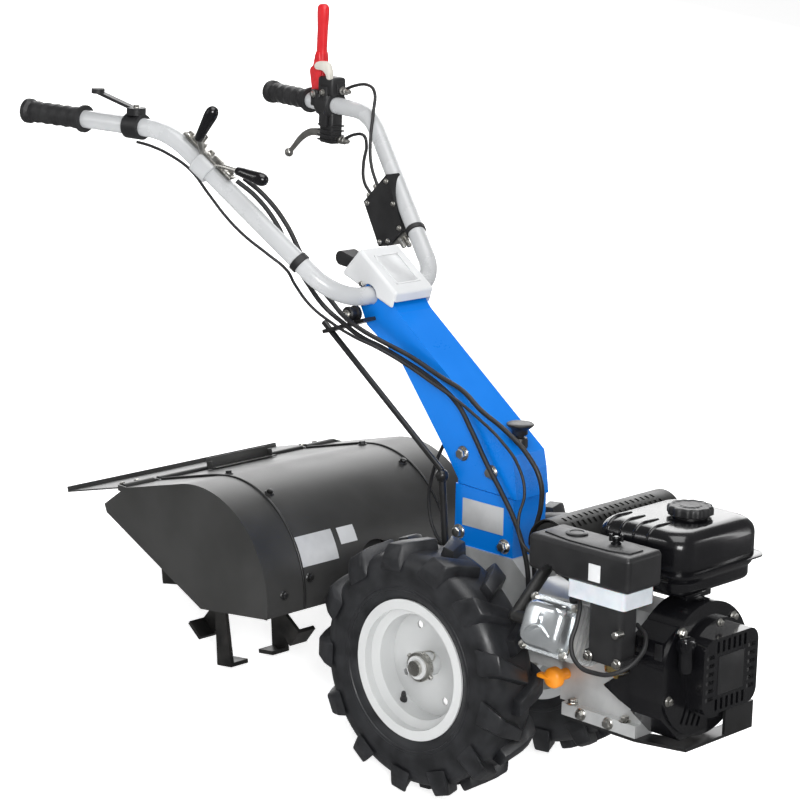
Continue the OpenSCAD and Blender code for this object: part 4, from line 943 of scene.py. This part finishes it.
def soft_steps(low, high, wide, deep, bend):
    """Steps that raise a rectangle to a box with round edges below and above."""
    steps = []
    for base, angles in ((low + bend, range(-90, 1, 15)), (high - bend, range(0, 91, 15))):
        for a in [math.radians(k) for k in angles]:
            inset = 2 * bend * (1 - math.cos(a))
            steps.append((base + bend * math.sin(a), (wide - inset) / wide, (deep - inset) / deep))
    return steps


upper_half = raised(soft_rect(174, 199, 32), soft_steps(13, 98, 174, 199, 24))
lower_half = raised(soft_rect(160, 185, 26), soft_steps(0, 39, 160, 185, 9))
lip_steps = [(35.4, 0.985, 0.985), (36, 1, 1), (38.4, 1, 1), (39, 0.985, 0.985)]
lip = raised(soft_rect(190, 215, 26), lip_steps)
bead_path = [(-42, 94.6), (-60, 95.6), (-75, 95), (-86, 90), (-93.5, 81), (-94, 72)]
beads = [tube([(x, y, z) for y, z in bead_path], 5.5, around=5) for x in (-60, -34, -8, 18)]
feet = [block((-65, -48, -38), (-35, -8, 2), 2), block((48, -64, -10), (72, -4, 2), 2)]
tank = put(joined(upper_half, lower_half, lip, *beads, *feet), TANK)
settle(tank, "fuel_tank_pressed", "black_gloss", replaces="fuel_tank", angle=40)

# %% [markdown]
# The filler cap is a moulded disc with twelve soft lobes for the fingers and a sunk ring on its top.
# Its outline is a circle whose radius swings twelve times, raised in steps. The knob that unlocks the
# column is turned: a boot at the sheet, a slim neck, a collar, and a head that flares to a flat top.

# %% Filler cap and column knob
def lobed(radius, swing, lobes):
    """A round outline whose radius swings out into lobes."""
    spots = []
    count = 8 * lobes
    for t in [math.tau * i / count for i in range(count)]:
        reach = radius + swing * math.cos(lobes * t)
        spots.append((reach * math.cos(t), reach * math.sin(t)))
    return spots


cap_steps = [(3.6, 0.94), (5, 1), (13.6, 1), (16.2, 0.97), (17.6, 0.9), (17.8, 0.82), (16.6, 0.76),
             (16.6, 0.5), (17.6, 0.46), (17.8, 0.4)]
cap = raised(lobed(34.4, 1.6, 12), [(high, share, share) for high, share in cap_steps])
neck = turned([(27, -1), (27, 4.2), (25, 4.4)], 40)
put(joined(cap, neck), shift(349, 58, 280))
settle(cap, "filler_cap_lobed", slots["fuel_cap"], replaces="fuel_cap", angle=40)
knob_steps = [(13, 336), (13, 352), (11.5, 356), (7, 357.5), (7, 360), (11.5, 361), (12.5, 362.5),
              (12.5, 368), (13.5, 369.5), (19.5, 374), (22, 376.5), (22, 378.4), (20.6, 379.6), (12, 380)]
knob = put(turned(knob_steps, 36), shift(50, 0, 0))
settle(knob, "column_knob_turned", slots["column_knob"], replaces="column_knob", angle=40)

# %% [markdown]
# Under the filter, a float bowl of brass hangs on the carburettor, a choke lever points out and a hose
# brings the fuel. The bowl and its stem are turned round one upright line, the rest are tubes.

# %% Carburettor and fuel hose
BOWL = shift(351, -105, 126)
bowl_steps = [(9, -60), (12, -59.5), (14, -57), (18.5, -54), (18.5, -20), (20, -19), (20, -14), (16, -12)]
bowl = put(turned(bowl_steps, 36), BOWL)
stem = put(turned([(4, -67), (5, -66), (5, -60), (6, -59)], 6), BOWL)
settle(joined(bowl, stem), "float_bowl_brass", "carburettor_metal", finish="brass")
choke_rod = tube([(383, -128, 150), (392, -140, 150), (400, -152, 152), (404, -166, 154)], 2.4)
choke_knob = turned([(3, 0), (5.5, 2), (5.5, 20), (3, 22)], 16)
put(choke_knob, aim((402, -160, 153), (0.15, -1, 0.1)))
settle(joined(choke_rod, choke_knob), "choke_lever", "steel")
hose = tube([(322, -36, 184), (324, -60, 178), (332, -84, 166), (338, -98, 150)], 4.2)
settle(hose, "fuel_hose", "rubber", angle=50)

# %% [markdown]
# A black shroud leads cooling air along the right flank of the crankcase: a flat outline, thickened
# and bevelled. Cast ribs stiffen the left flank, and the oil drains through a bolted boss there.

# %% Flanks of the crankcase
shroud_outline = [(318, 38), (350, 22), (374.7, 13), (374.7, 124), (366, 104), (358, 76), (338, 54)]
shroud = put(plate(shroud_outline, 73, 98, 3, 3), on_edge)
settle(shroud, "flank_shroud", "black_gloss")
case_ribs = [block((x, 70, -4), (x + 8, 78, 100), 2) for x in (236, 286, 336)]
case_ribs.append(block((222, 70, 96), (366, 77, 104), 2))
drain_boss = turned([(17, 0), (17, 8), (15, 10), (9, 10)], 32)
case_ribs.append(put(drain_boss, aim((311, 84, 4), left)))
settle(joined(*case_ribs), "case_ribs", "cast_aluminium")
bolts("drain_bolt", 15, [((311, 93.6, 4), left)])

# %% [markdown]
# The recoil starter has a plain plate in its middle, a pull grip beside it and three screws on its
# rim. The grip is a rounded box with a tube that hangs below it and closes at its end.

# %% Starter
settle(block((469.8, -15, 42), (472.2, 47, 102), 0.9), "starter_plate_blank", "black_plastic")
pull_head = block((437.2, -79.5, 113), (459.5, -52.5, 138.5), 8, 4)
pull_path = [(448, -66, 122), (448.5, -66.5, 108), (449.5, -67, 94), (450, -67, 85), (450, -67, 82)]
pull_tail = tube(pull_path, 11, [1, 1, 1.05, 0.9, 0.5], around=6)
settle(joined(pull_head, pull_tail), "starter_pull_grip", "black_gloss", angle=50)
bolts("starter_screws", 8, on_circle(447, 16, CRANK_Z, 71, (90, 215, 325), front))
